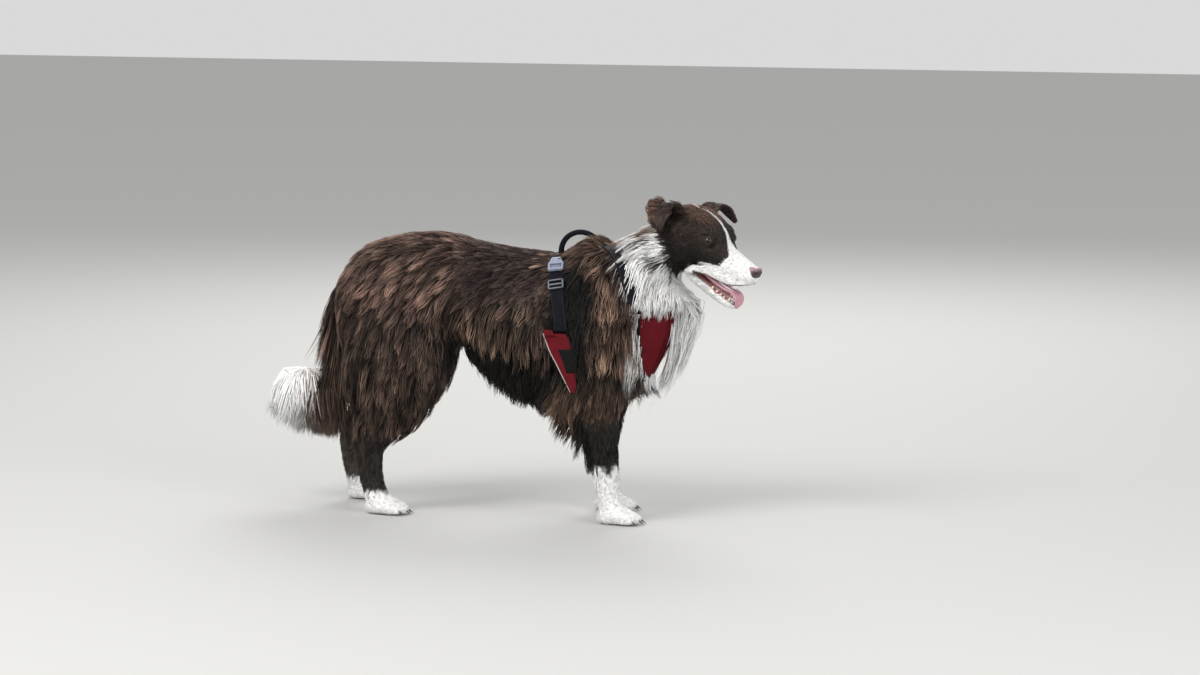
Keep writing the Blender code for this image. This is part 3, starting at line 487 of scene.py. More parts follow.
FEET = [foot_place(FORELEG, side, LEFT_FORELEG_BACK) for side in (-1, 1)]
FEET += [foot_place(HINDLEG, side, LEFT_HINDLEG_BACK) for side in (-1, 1)]
forms = [
    loft(thinned(TRUNK, 0.020, 0.015, 0.030), squareness=2.2),
    loft(thinned(NECK, 0.034, 0.026, 0.042)),
    loft(thinned(BIB[:-2], 0.044, bib_coat, 0.030)),
    loft(TAIL_CORE, sides=16),
    *legs(
        thinned(FORELEG, foreleg_coat, foreleg_coat, foreleg_coat * 1.3),
        thinned(HINDLEG, hindleg_coat, hindleg_coat, hindleg_coat * 1.6),
    ),
]
for foot in FEET:
    forms.append(loft(shifted(PAW, foot), sides=20, squareness=2.3))
    forms += [loft(shifted(toe_rows(*toe), foot), sides=12, between=3) for toe in TOES]
body_skin = grown_together("body_skin", forms, BODY_VOXEL, 3)
print("body skin:", len(body_skin.data.polygons), "faces")

# %% [markdown]
# ## The head
#
# The head gets its own, much finer skin. It is drawn in its own frame, x to the nose from the
# palate below the eyes and z up, and then turned and dropped into place. Upper jaw, brows, lips
# and ears are lofts grown together. The mouth is cut out as a palate above and a trough below,
# and the lids are raised round each eye afterwards.

# %% Head frame and sections
HEAD_AT = Vector((0.395, -0.040, 0.4735))
HEAD_TURN = math.radians(23.5)
HEAD_DROP = math.radians(13.5)
JAW_OPEN = math.radians(21)
JAW_HINGE = Vector((-0.045, 0, 0.004))
HEAD_VOXEL = 0.0018
HEAD = Matrix.Translation(HEAD_AT) @ Matrix.Rotation(-HEAD_TURN, 4, "Z") @ Matrix.Rotation(HEAD_DROP, 4, "Y")
JAW_FRAME = HEAD @ Matrix.Translation(JAW_HINGE) @ Matrix.Rotation(JAW_OPEN, 4, "Y")
JAW_FRAME = JAW_FRAME @ Matrix.Translation(-JAW_HINGE)
SKULL = mm(
    (-122, 0, 52, 20, 18, 24), (-110, 0, 54, 44, 40, 48), (-88, 0, 52, 59, 56, 64),
    (-62, 0, 50, 64, 61, 70), (-36, 0, 47, 60, 58, 62), (-14, 0, 42, 47, 48, 50),
    (4, 0, 34, 37.5, 34, 41), (20, 0, 27, 30.5, 28, 36), (42, 0, 21, 27.5, 25.5, 32),
    (64, 0, 18, 25, 22, 27), (80, 0, 17, 21.5, 18, 20), (89, 0, 17, 15, 14, 14), (93, 0, 18, 6, 6, 6),
)
BROW = mm(
    (-40, 28, 74, 15, 12, 16), (-14, 29, 72, 14, 9, 16), (4, 24, 64, 9, 6, 11),
)
UPPER_LIP = mm(
    (-40, 37, -6, 4.5, 12, 6), (-20, 34.5, -3, 4, 11, 5), (5, 30, 2, 3.5, 10, 5.5),
    (26, 26.2, -1, 3.5, 10, 6.5), (50, 22.5, -2, 3.5, 10, 7.5), (71, 17, 1, 3.5, 9, 6.5),
    (86, 8, 5, 3.5, 8, 5),
)
PALATE = mm(
    (-30, 0, -14, 12, 8, 18), (0, 0, -13, 16.5, 10, 22), (35, 0, -11, 17, 13, 22),
    (62, 0, -9, 13, 13, 22), (78, 0, -6, 7, 8, 22),
)
JAW = mm(
    (-62, 0, -4, 22, 12, 14), (-30, 0, -10, 28.5, 10, 14), (0, 0, -11, 25, 9, 12.5),
    (30, 0, -11, 19.2, 8, 11.8), (55, 0, -10, 15.5, 7, 10), (68, 0, -8, 11.5, 6, 7),
    (73.5, 0, -6, 6, 3, 4),
)
JAW_TROUGH = mm(
    (-30, 0, 4, 21, 14, 10), (0, 0, 4, 19.5, 14, 10), (30, 0, 4, 14.5, 14, 9), (54, 0, 4, 11, 14, 8),
    (64, 0, 4, 7, 14, 5),
)
# An ear is a leaf: rows run from its root to its tip, with half width and thickness.
EAR_RIGHT = mm(
    (-80, -30, 82, 20, 6, 6), (-95, -48, 100, 31, 4, 4.5), (-102, -60, 95, 31, 3.2, 3.6),
    (-100, -68, 80, 23, 3, 3.2), (-93, -72, 65, 13, 2.8, 2.8), (-88, -73, 55, 5, 2.4, 2.4),
)
EAR_LEFT = mm(
    (-72, 28, 85, 19, 6, 6), (-63, 47, 102, 20, 4, 4.5), (-51, 61, 100, 16, 3.2, 3.6),
    (-41, 70, 89, 11, 3, 3), (-31, 76, 78, 5, 2.4, 2.4),
)
NECK_STUMP = mm(
    (280, -4, 500, 50, 40, 48), (325, -14, 523, 44, 38, 44),
)


def into(frame_matrix, points):
    """Points carried from a frame's own coordinates to the dog's."""
    m = np.array(frame_matrix)
    return points @ m[:3, :3].T + m[:3, 3]


def from_world(frame_matrix, points):
    return into(frame_matrix.inverted(), points)


# %% Head skin
face_coat = np.interp(SKULL[:, 0], (-0.12, -0.06, -0.01, 0.03, 0.09), (0.012, 0.010, 0.0045, 0.0015, 0.0005))
forms = [loft(thinned(SKULL, face_coat, face_coat, face_coat, 0.004), HEAD, squareness=2.15)]
for side in (1, -1):
    forms += [loft(on_side(rows, side), HEAD, sides=16) for rows in (BROW, UPPER_LIP)]
forms += [loft(rows, HEAD, sides=24, side=(1.0, 0.0, 0.25)) for rows in (EAR_RIGHT, EAR_LEFT)]
forms.append(loft(NECK_STUMP, sides=24))
head_skin = grown_together("head_skin", forms, HEAD_VOXEL, 2)
combined(head_skin, loft(PALATE, HEAD, squareness=2.6), "DIFFERENCE")
jaw_skin = grown_together("jaw_skin", [loft(JAW, JAW_FRAME, squareness=2.4)], HEAD_VOXEL, 1)
combined(jaw_skin, loft(JAW_TROUGH, JAW_FRAME, squareness=2.4), "DIFFERENCE")
combined(head_skin, jaw_skin, "UNION")
print("head skin:", len(head_skin.data.polygons), "faces")

# %% [markdown]
# ### Eyelids
#
# A lid is a soft rim that wraps the eyeball. Seen from the eye's own axis the opening is an
# almond. Inside it the skin dives behind the ball, on its edge it stands a millimetre proud of
# the ball, and further out it fades into the cheek and brow.

# %% Eyelids
EYE_RADIUS = 0.0105
EYE_AT = Vector((-0.0050, 0.0325, 0.0590))
GAZE = Vector((0.55, 0.80, 0.06)).normalized()  # left eye, in the head's frame
LID_HALF_WIDTH = 0.0088
LID_HALF_HEIGHT = 0.0062
LID_REACH = 2.3


def eye_axes(side):
    """The eye's centre, and its outward, along (towards the nose) and upward directions."""
    turn = HEAD.to_3x3()
    centre = np.array(HEAD @ Vector((EYE_AT.x, EYE_AT.y * side, EYE_AT.z)))
    out = np.array(turn @ Vector((GAZE.x, GAZE.y * side, GAZE.z)))
    nose_ward = np.array(turn @ Vector((0.93, 0, -0.25)))
    along_lid = unit(nose_ward - out * (nose_ward @ out))
    return centre, out, along_lid, np.cross(out, along_lid) * side * -1


def vertex_array(mesh):
    return read_out(mesh.vertices, "co", 3)


def read_out(collection, field, width, kind=float):
    """One field of every element of a mesh, as an array of rows."""
    values = np.empty(len(collection) * width, kind)
    collection.foreach_get(field, values)
    return values.reshape(-1, width)


def raise_lids(skin):
    """Moves the skin along each eye's axis: height = ball's surface + rim(r), r in lid widths."""
    points = vertex_array(skin.data)
    for side in (-1, 1):
        centre, out, along_lid, upward = eye_axes(side)
        local = points - centre
        u, v, w = local @ along_lid, local @ upward, local @ out
        r = np.sqrt((u / LID_HALF_WIDTH) ** 2 + (v / LID_HALF_HEIGHT) ** 2)
        close = (r < LID_REACH) & (w > -0.004)
        ball = np.sqrt(np.maximum(EYE_RADIUS**2 - u**2 - v**2, 0))
        rim = np.interp(r, (0, 0.80, 1.02, 1.25, LID_REACH), (-0.0045, -0.0035, 0.0009, 0.0013, 0.0))
        blend = np.interp(r, (1.25, LID_REACH), (1, 0))
        blend = blend * blend * (3 - 2 * blend)
        target = w * (1 - blend) + (ball + rim) * blend
        points[close] += (np.where(close, target - w, 0)[:, None] * out)[close]
    skin.data.vertices.foreach_set("co", points.ravel())


# %% [markdown]
# ### One skin
#
# The breast plate lies close on the chest, so the skin is kept behind it. Then body and head are
# welded into one mesh and smoothed once.

# %% One skin
# Rows of the breast plate: height, how far forward its middle stands, half width.
CHEST_PLATE = mm(
    (394, 315, 66), (376, 312, 64), (357, 306, 61), (336, 298, 56), (314, 287, 49), (291, 274, 38),
    (264, 259, 22),
)
ROUNDING = 14.0  # the plate's x falls by this times y^2
PLATE_ROOM = 0.008


def press_chest(skin):
    """Keeps the skin behind the breast plate: x <= plate(z) - k*y^2 - room, with more outside it."""
    points = vertex_array(skin.data)
    x, y, z = points.T
    height, front, half = CHEST_PLATE[::-1].T
    beyond = np.maximum(np.abs(y) - np.interp(z, height, half) - 0.004, 0)
    beyond += np.maximum(z - height[-1] - 0.003, 0) + np.maximum(height[0] - 0.004 - z, 0)
    limit = np.interp(z, height, front) - ROUNDING * y**2 - PLATE_ROOM + beyond * 1.6
    moved = (x > 0.13) & (beyond < 0.04) & (x > limit)
    points[moved, 0] = limit[moved]
    skin.data.vertices.foreach_set("co", points.ravel())
    print("skin pressed in by the plate:", int(moved.sum()), "points")


raise_lids(head_skin)
press_chest(body_skin)
skin = softened(combined(body_skin, head_skin, "UNION"), 0.35, 1)
skin.name = skin.data.name = "skin"
skin.data.shade_smooth()
print("skin:", len(skin.data.vertices), "points")

# %% [markdown]
# ## One unwrap for skin and coat
#
# The skin is cut into flat islands by the turn of its own surface. The map is called OFBake, and
# later each lock of hair takes a small patch of it at the place where the lock is rooted.

# %% Unwrap
for chosen in bpy.context.view_layer.objects:
    chosen.select_set(chosen is skin)
bpy.context.view_layer.objects.active = skin
skin.data.uv_layers.new(name="OFBake")
bpy.ops.object.mode_set(mode="EDIT")
bpy.ops.mesh.select_all(action="SELECT")
bpy.ops.uv.smart_project(angle_limit=math.radians(66), island_margin=0.001)
bpy.ops.object.mode_set(mode="OBJECT")
skin.data.calc_loop_triangles()

skin_points = vertex_array(skin.data)
skin_normals = read_out(skin.data.vertex_normals, "vector", 3)
triangles = read_out(skin.data.loop_triangles, "vertices", 3, np.int32)
triangle_loops = read_out(skin.data.loop_triangles, "loops", 3, np.int32)
corner_uv = read_out(skin.data.uv_layers["OFBake"].data, "uv", 2)[triangle_loops]
skin_tree = BVHTree.FromPolygons(skin_points.tolist(), triangles.tolist())
form_tree = BVHTree.FromObject(coat_form, bpy.context.evaluated_depsgraph_get())
print("skin:", len(triangles), "triangles, unwrapped")

# %% [markdown]
# ## Markings
#
# The dog is chocolate brown with white: a full white collar and bib, white socks, a white plume
# and a thin blaze. The sun has bleached the tips of the longest hair to tan. Every place on the
# body gets two colours, one for the roots and one for the tips. Zones are laid over each other
# like glazes, each with a soft or ragged border, and the same function colours skin and locks.


# %% Colour tools
def ramp(value, low, high):
    """0 below low, 1 above high, with a soft s-curve between."""
    t = np.clip((value - low) / (high - low), 0, 1)
    return t * t * (3 - 2 * t)


def below(value, low, high):
    """1 below low, 0 above high."""
    return 1 - ramp(value, low, high)


def within(value, low, low_full, high_full, high):
    """1 between the two full marks, 0 outside low and high."""
    return ramp(value, low, low_full) * below(value, high_full, high)


def along_line(value, line):
    """Straight pieces through the points of a line."""
    return np.interp(value, *zip(*line))


def grain(points, scale, seed=3, waves=9):
    """Cloudy noise from -1 to 1: a mean of sine waves in seeded directions, about `scale` long."""
    dice = np.random.default_rng(seed)
    ways = unit(dice.normal(size=(waves, 3))) * dice.uniform(0.6, 1.6, (waves, 1)) * math.tau / scale
    return np.sin(points @ ways.T + dice.uniform(0, math.tau, waves)).mean(axis=1) * 1.8


def near(points, centre, radius, fade=0.5):
    """1 close to a spot, 0 beyond its radius."""
    return below(np.linalg.norm(points - np.array(centre), axis=1), radius * fade, radius)


# %% [markdown]
# The borders of the zones are lines of pairs. The first line says how far forward the white
# collar begins at each height, and the second how high the dark belly reaches along the body:
# its own dark hair, and painted shade under the trunk.
# The next three bound the dark patch of the head, below, behind and towards the blaze.

# %% Colours and border lines
WHITE_LINE = (
    (0.19, 0.243), (0.30, 0.249), (0.375, 0.254), (0.40, 0.256), (0.455, 0.248), (0.52, 0.236), (0.56, 0.222),
)
DARK_BELLY_AND_SHADE_LINE = ((-0.12, 0.375), (-0.06, 0.350), (0.0, 0.335), (0.06, 0.325), (0.09, 0.31))
PATCH_BELOW = (
    (-0.064, -0.043), (-0.056, -0.026), (-0.043, -0.011), (-0.029, 0.004),
    (-0.012, 0.017), (0.009, 0.018), (0.027, 0.020), (0.041, 0.047), (0.050, 0.080),
)
PATCH_BEHIND = (
    (-0.043, -0.062), (-0.028, -0.074), (0.022, -0.080), (0.05, -0.112), (0.08, -0.134), (0.13, -0.145),
)
BLAZE = ((-0.08, 0.0), (-0.06, 0.0012), (0.0, 0.0024), (0.015, 0.0042), (0.03, 0.012), (0.045, 0.030))
COAT_COLOURS = {  # roots, tips
    "brown": ((0.020, 0.011, 0.008), (0.520, 0.335, 0.265)),
    "saddle": ((0.018, 0.010, 0.009), (0.190, 0.130, 0.120)),
    "flank": ((0.011, 0.007, 0.005), (0.400, 0.270, 0.200)),
    "dark": ((0.004, 0.004, 0.004), (0.019, 0.016, 0.015)),
    # belly: near black, its own dark hair and painted shade under the trunk
    "belly": ((0.003, 0.003, 0.002), (0.020, 0.014, 0.011)),
    "shoulder": ((0.022, 0.012, 0.008), (0.560, 0.360, 0.260)),
    "upper_leg": ((0.026, 0.016, 0.011), (0.280, 0.180, 0.125)),
    "leg": ((0.003, 0.0025, 0.002), (0.013, 0.011, 0.009)),
    "thigh": ((0.009, 0.006, 0.005), (0.270, 0.180, 0.135)),
    "shank": ((0.010, 0.007, 0.006), (0.055, 0.040, 0.031)),
    "inner_leg": ((0.050, 0.038, 0.030), (0.200, 0.165, 0.140)),
    "white": ((0.860, 0.858, 0.852), (0.970, 0.970, 0.968)),
    "head": ((0.015, 0.009, 0.007), (0.082, 0.053, 0.043)),
    "cheek": ((0.007, 0.006, 0.005), (0.026, 0.021, 0.018)),
    "crown": ((0.065, 0.034, 0.024), (0.360, 0.220, 0.170)),
    "ear": ((0.026, 0.015, 0.013), (0.170, 0.110, 0.095)),
    "ear_fringe": ((0.110, 0.060, 0.036), (0.560, 0.330, 0.200)),
}


class Glaze:
    """Two colours for every point, painted over zone by zone."""

    def __init__(self, count):
        self.colours = np.tile(np.array(COAT_COLOURS["brown"]), (count, 1, 1))

    def lay(self, name, amount):
        self.colours += (np.array(COAT_COLOURS[name]) - self.colours) * amount[:, None, None]


# %% Body zones, then head zones in the head's own frame
def mark_body(coat, points):
    """The zones of trunk and legs, with the white ones last."""
    x, y, z = points.T
    aside = np.abs(y)
    rough = grain(points, 0.030) * 0.006 + grain(points, 0.009, seed=5) * 0.003
    coat.lay("flank", within(x, -0.15, -0.10, 0.05, 0.09) * below(z + rough, 0.40, 0.43))
    coat.lay("saddle", within(x + rough, -0.095, -0.055, 0.055, 0.090) * ramp(z, 0.405, 0.435))
    coat.lay("thigh", below(x, -0.15, -0.10) * below(z + rough, 0.37, 0.42) * 0.9)
    coat.lay("shoulder", ramp(x + rough, 0.130, 0.170) * ramp(z, 0.25, 0.29))
    behind_shoulder = within(x + rough, 0.080, 0.105, 0.172, 0.194) * within(z, 0.27, 0.31, 0.475, 0.51)
    coat.lay("dark", behind_shoulder * (aside > 0.035))
    # Below the line the belly is near black: its own dark hair and painted shade under the trunk.
    under = below(z - along_line(x, DARK_BELLY_AND_SHADE_LINE) + rough, -0.010, 0.014)
    coat.lay("belly", under * ramp(x + rough * 2, -0.150, -0.120))
    foreleg = ramp(x, 0.10, 0.12) * below(z + rough, 0.26, 0.31)
    coat.lay("upper_leg", foreleg)
    coat.lay("leg", foreleg * below(z + rough, 0.17, 0.22))
    hindleg = below(x, -0.13, -0.11)
    coat.lay("thigh", hindleg * below(z, 0.30, 0.33) * 0.8)
    coat.lay("shank", hindleg * below(z + rough, 0.13, 0.19))
    inner = hindleg * below(z, 0.20, 0.26) * below(aside, 0.060, 0.078)
    coat.lay("inner_leg", inner * (y > 0))
    past_line = x - along_line(z, WHITE_LINE) + rough
    before_ruff = within(past_line, -0.036, -0.026, -0.008, 0.0)
    coat.lay("saddle", before_ruff * ramp(z, 0.40, 0.43) * (aside > 0.03) * 0.8)
    beside_plate = within(aside, 0.050, 0.062, 0.095, 0.105) * within(z, 0.19, 0.22, 0.38, 0.40) * 0.016
    coat.lay("white", ramp(past_line + beside_plate, -0.006, 0.006) * (z > 0.12))
    coat.lay("white", ramp(x, 0.05, 0.10) * below(z + rough * 1.4, 0.100, 0.110))
    coat.lay("white", below(x, -0.1, -0.05) * below(z + rough, 0.042, 0.050))
    coat.lay("white", below(x + rough, -0.420, -0.404) * below(z, 0.30, 0.32))


def mark_head(coat, points):
    """The zones of the head: white, then the dark patch, then the shades within it."""
    local = from_world(HEAD, points)
    x, y, z = local.T
    aside = np.abs(y)
    on_head = near(local, (-0.045, 0, 0.05), 0.130, 0.9)
    fine = grain(points, 0.008, seed=7) * 0.0014
    patch = (
        ramp(z - along_line(x, PATCH_BELOW) + fine, -0.0012, 0.0012)
        * ramp(x - along_line(z, PATCH_BEHIND) + fine * 2, -0.003, 0.003)
        * ramp(aside - along_line(x, BLAZE) + fine * 0.5, -0.0006, 0.0010)
    )
    coat.lay("white", on_head)
    coat.lay("head", on_head * patch)
    coat.lay("cheek", on_head * patch * below(z + fine * 4, 0.028, 0.048))
    coat.lay("crown", on_head * patch * ramp(z + fine * 4, 0.078, 0.100) * below(aside, 0.032, 0.042))
    ears = on_head * ramp(z, 0.055, 0.070) * ramp(aside, 0.040, 0.050) * below(x, -0.036, -0.026)
    coat.lay("ear", ears)
    behind_ear = near(local, (-0.134, -0.048, 0.070), 0.050) * ramp(-x, 0.106, 0.112)
    coat.lay("ear_fringe", behind_ear)
    streaks = grain(points * (1, 1, 0.35), 0.012, seed=9)
    coat.lay("cheek", ramp(streaks, 0.1, 0.6) * near(local, (-0.100, -0.045, 0.005), 0.034) * 0.8)
    coat.lay("ear", ramp(streaks, -0.1, 0.4) * near(local, (-0.130, -0.050, 0.032), 0.048) * 0.9)


def markings(points):
    """Root and tip colours of the coat over each point: zones painted in turn, edges made ragged."""
    coat = Glaze(len(points))
    mark_body(coat, points)
    mark_head(coat, points)
    coat.lay("head", near(points * (1, 0, 1), (0.289, 0, 0.488), 0.012) * (points[:, 1] < -0.02))
    coat.lay("thigh", near(points, (0.358, 0.045, 0.385), 0.034) * (points[:, 1] > 0.015))
    return coat.colours


# %% [markdown]
# ### Colours of the skin
#
# The skin takes the colour of the roots, a little cloudy, and under the dark coat it is made a
# little darker still: painted shade in the gaps between the locks. The dark rims of the lips and
# lids and the pink of the mouth are dyed over it, and the same zones say how wet it is.

# %% Skin colours
LIP_EDGE = (
    (-0.02, -0.004), (0.005, -0.0033), (0.026, -0.0078), (0.050, -0.0098), (0.071, -0.0056), (0.090, 0.001),
)


def inside_of(local, table, margin=0.0014):
    """1 where a point lies inside a mouth cutter, its ovals a little widened."""
    half, centre, roof, base = (np.interp(local[:, 0], table[:, 0], table[:, k]) for k in (3, 2, 4, 5))
    inside = (local[:, 0] > table[0, 0] - 0.004) & (local[:, 0] < table[-1, 0] + 0.003)
    inside &= (local[:, 2] < centre + roof + margin) & (local[:, 2] > centre - base - margin)
    return (inside & (np.abs(local[:, 1]) < half + margin)).astype(float)


def lid_widths(points, side, reach):
    """Distance from an eye's line of sight in half widths of its lids, and what lies near the eye."""
    centre, _, along_lid, upward = eye_axes(side)
    local = points - centre
    away = np.hypot(local @ along_lid / LID_HALF_WIDTH, local @ upward / LID_HALF_HEIGHT)
    return away, np.linalg.norm(local, axis=1) < reach


class Dye:
    """The skin's colour and how wet it is."""

    def __init__(self, paint):
        self.paint = paint
        self.wet = np.zeros(len(paint))

    def add(self, where, colour, wetness):
        self.paint = self.paint + (np.array(colour) - self.paint) * where[:, None]
        self.wet = self.wet + (wetness - self.wet) * where


tone = markings(skin_points)
paint = tone[:, 0] + (tone[:, 1] - tone[:, 0]) * (0.16 + 0.10 * grain(skin_points, 0.006, seed=13)[:, None])
# Under dark hair the skin is darkened by 15%: painted shade for the gaps between locks.
dye = Dye(paint * (0.85 + 0.13 * ramp(tone[:, 1, 1], 0.40, 0.70)[:, None]))
head_local = from_world(HEAD, skin_points)
jaw_local = from_world(JAW_FRAME, skin_points)
lip_depth = head_local[:, 2] - along_line(head_local[:, 0], LIP_EDGE)
in_muzzle = (head_local[:, 0] > -0.024) & (head_local[:, 0] < 0.092) & (np.abs(head_local[:, 1]) < 0.040)
in_jaw = (jaw_local[:, 0] > -0.03) & (jaw_local[:, 0] < 0.076) & (np.abs(jaw_local[:, 1]) < 0.030)
upper_rim = in_muzzle * below(lip_depth, 0.0006, 0.0030) * ramp(lip_depth, -0.012, -0.008)
lower_rim = in_jaw * within(jaw_local[:, 2], -0.0070, -0.0050, 0.002, 0.004)
dye.add(np.clip(upper_rim * (jaw_local[:, 2] > -0.001), 0, 1), (0.055, 0.030, 0.030), 0.7)
dye.add(lower_rim * 0.9, (0.050, 0.026, 0.026), 0.7)
dye.add(inside_of(head_local, PALATE), (0.36, 0.135, 0.140), 1.0)
dye.add(inside_of(jaw_local, JAW_TROUGH, 0.0010), (0.42, 0.17, 0.18), 1.0)
dye.add(near(head_local, (0.0669, -0.018, 0.0054), 0.0060, 0.3) * 0.8, (0.03, 0.02, 0.02), 0.1)
for side in (-1, 1):
    away, at_eye = lid_widths(skin_points, side, 0.022)
    dye.add(at_eye * below(away, 1.18, 1.50), (0.006, 0.005, 0.005), 0.6)


def add_colour(mesh, name, colours):
    """Stores a colour for every point of the mesh."""
    layer = mesh.color_attributes.new(name, "FLOAT_COLOR", "POINT")
    values = np.ones((len(colours), 4), np.float32)
    values[:, :3] = np.clip(colours, 0, 1)
    layer.data.foreach_set("color", values.ravel())


def add_value(mesh, name, values):
    layer = mesh.attributes.new(name, "FLOAT", "POINT")
    layer.data.foreach_set("value", np.asarray(values, np.float32))


add_colour(skin.data, "coat_colour", dye.paint)
add_value(skin.data, "wet", dye.wet)
print("white share of the skin:", round(float((dye.paint[:, 1] > 0.4).mean()), 3))

# %% [markdown]
# ### Skin material
#
# Where the hair is short the skin is seen through it, so its bump stands for fine fur: long thin
# ripples that run down and back. The mouth and the rims of the lips and lids are smooth and wet.

# %% Skin material
use = Surface("dog_skin", (0.3, 0.2, 0.15), 0.6, specular=0.35)
strands = use.noise(use.place((900, 900, 260), (0.0, 0.35, 0.0)), 1.0)
soft = use.noise(use.place(), 160, 3.0)
colour = use.tint(use.stored("coat_colour", "Color"), use.spread(strands, 0.62, 1.30, 0.25, 0.75))
use.look(use.tint(colour, use.spread(soft, 0.85, 1.12)), use.spread(use.stored("wet"), 0.68, 0.26, 0, 1))
dry = use.math("SUBTRACT", 1.0, use.math("MULTIPLY", use.stored("wet"), 0.85))
use.bump(use.math("MULTIPLY", strands, dry), 0.0010, 0.9)
PAIRED = ("ear", "upper_foreleg", "foreleg", "forepaw", "thigh", "hindleg", "hindpaw")
flesh = ["head", "neck", "chest", "trunk", "tail", "tail_tip", "lower_jaw"]
flesh += [f"{part}_{side}" for side in ("left", "right") for part in PAIRED]
dressed(skin, use, *flesh, slot="brown_coat")
print("the skin stands for", len(flesh), "solids")

# %% [markdown]
# ## Eyes
#
# An eye is a ball with a small dome, the cornea, in front. It is drawn by its angle from the
# line of sight: the pupil, the brown iris with fine spokes, a dark ring, and the white, hardly
# seen behind the lids. A clear coat gives the wet highlight.

# %% Eyes
IRIS = math.radians(47)
EYE_RINGS, EYE_SIDES = 60, 48


def ball_grid(angles, turns, out, side_way, up_way, radii=1.0):
    """Points at radius r, angle a from `out`: out*r*cos(a) + (side*cos(t) + up*sin(t))*r*sin(a)."""
    a, t = angles[:, None, None], turns[None, :, None]
    r = np.reshape(radii, (-1, 1, 1))
    return r * (np.cos(a) * out + np.sin(a) * (np.cos(t) * side_way + np.sin(t) * up_way))


def round_turns(sides):
    """Even turns of a full circle."""
    return np.linspace(0, math.tau, sides, endpoint=False)


use = Surface("amber_brown_eye", (0.1, 0.04, 0.015), 0.30, 0.15, 0.6, 0.02)
rings = use.add("ValToRGB")
stops = (
    (0.0, (0.001, 0.001, 0.001)), (0.250, (0.001, 0.001, 0.001)), (0.275, (0.014, 0.005, 0.002)),
    (0.38, (0.038, 0.014, 0.005)), (0.47, (0.018, 0.007, 0.003)), (0.53, (0.003, 0.002, 0.002)),
    (0.60, (0.030, 0.020, 0.016)), (1.0, (0.12, 0.07, 0.06)),
)
for place, ring_colour in stops[1:-1]:
    rings.color_ramp.elements.new(place)
for stop, (place, ring_colour) in zip(rings.color_ramp.elements, stops):
    stop.position = place
    stop.color = (*ring_colour, 1)
use.feed(rings.inputs[0], use.stored("sight_angle"))
spokes = use.noise(use.place((55, 4, 1), uv="round"), 1.0, 3.0)
use.look(use.tint(rings.outputs[0], use.spread(spokes, 0.6, 1.45), 0.8))
use.bump(spokes, 0.00008, 0.4)


def loop_points(mesh):
    """The point that each corner of each face stands on."""
    return read_out(mesh.loops, "vertex_index", 1, np.int32)[:, 0]


def add_map(mesh, name, *values):
    """A UV map from two values for every point."""
    uv = np.stack(values, axis=1)[loop_points(mesh)]
    mesh.uv_layers.new(name=name).data.foreach_set("uv", uv.astype(np.float32).ravel())


for side, name in ((1, "eye_left"), (-1, "eye_right")):
    centre, out, along_lid, upward = eye_axes(side)
    angles = np.linspace(0.001, math.pi - 0.001, EYE_RINGS)
    turns = round_turns(EYE_SIDES)
    dome = 0.0011 * np.clip(1 - (angles / IRIS) ** 2, 0, 1) ** 1.5
    grid = centre + ball_grid(angles, turns, out, along_lid, upward, EYE_RADIUS + dome)
    ball = closed_tube("visual_" + name, grid)
    angle_of = np.append(np.repeat(angles, EYE_SIDES), (0, math.pi))
    add_value(ball.data, "sight_angle", angle_of / (math.pi / 2))
    add_map(ball.data, "round", np.append(np.tile(turns, EYE_RINGS), (0, 0)) / math.tau, angle_of)
    dressed(ball, use, name, slot="eye")
print("eyes", round(EYE_RADIUS * 2000, 1), "mm across")

# %% [markdown]
# ## Nose
#
# The leather is a rounded box with two comma-shaped nostrils and a groove down its middle. It is
# a ball of directions pushed out to that box, with the nostrils pressed in, and its fine pebbles
# are bump. It is pink-brown on top and dark towards the front and below, and the nostrils and the
# groove are darkened by their depth as painted shade.

# %% Nose
NOSE_CENTRE = np.array((0.0865, 0.0, 0.0240))
NOSE_HALF = np.array((0.0110, 0.0138, 0.0098))
X_WAY, Y_WAY, Z_WAY = np.eye(3)


def boxed(ways, power):
    """Directions over (|x|^k + |y|^k + |z|^k)^(1/k): a ball pushed out to a soft box."""
    return ways * (np.abs(ways) ** power).sum(axis=-1, keepdims=True) ** (-1 / power)


leather = boxed(ball_grid(np.linspace(0.02, math.pi - 0.02, 56), round_turns(72), Z_WAY, X_WAY, Y_WAY), 2.9)
leather[..., 1] *= 1 - 0.16 * np.clip(-leather[..., 2:3], 0, 1)[..., 0]
leather = leather * NOSE_HALF
u, v = np.abs(leather[..., 1]), leather[..., 2]
forward = ramp(leather[..., 0], 0.000, 0.006)
hole = np.hypot((u - 0.0064 - 0.12 * v) / 0.0031, (v - 0.0004) / 0.0030)
slit = np.hypot((u - 0.0110) / 0.0042, (v + 0.0028 + 0.25 * (u - 0.011)) / 0.0011)
press = 0.0046 * below(hole, 0.25, 1.1) + 0.0020 * below(slit, 0.3, 1.2)
press += 0.0009 * below(u, 0.0002, 0.0014) * below(v, -0.001, 0.004)
leather[..., 0] -= press * forward
leather[..., 2] += 0.0012 * ramp(u, 0.001, 0.006) * ramp(v, 0.002, 0.008)
nose = closed_tube("visual_nose", into(HEAD, leather + NOSE_CENTRE))

local = from_world(HEAD, vertex_array(nose.data)) - NOSE_CENTRE
depth = np.append(press * forward, (0, 0))
# Dark towards the front and below, and darker in the pressed-in nostrils and groove as painted shade.
dark_front_and_hollow_shade = ramp(local[:, 0], -0.001, 0.007) * below(local[:, 2], 0.003, 0.010) + ramp(depth, 0.0006, 0.003)
top, front = np.array((0.300, 0.180, 0.200)), np.array((0.045, 0.022, 0.026))
nose_paint = top + (front - top) * np.clip(dark_front_and_hollow_shade, 0, 1)[:, None]
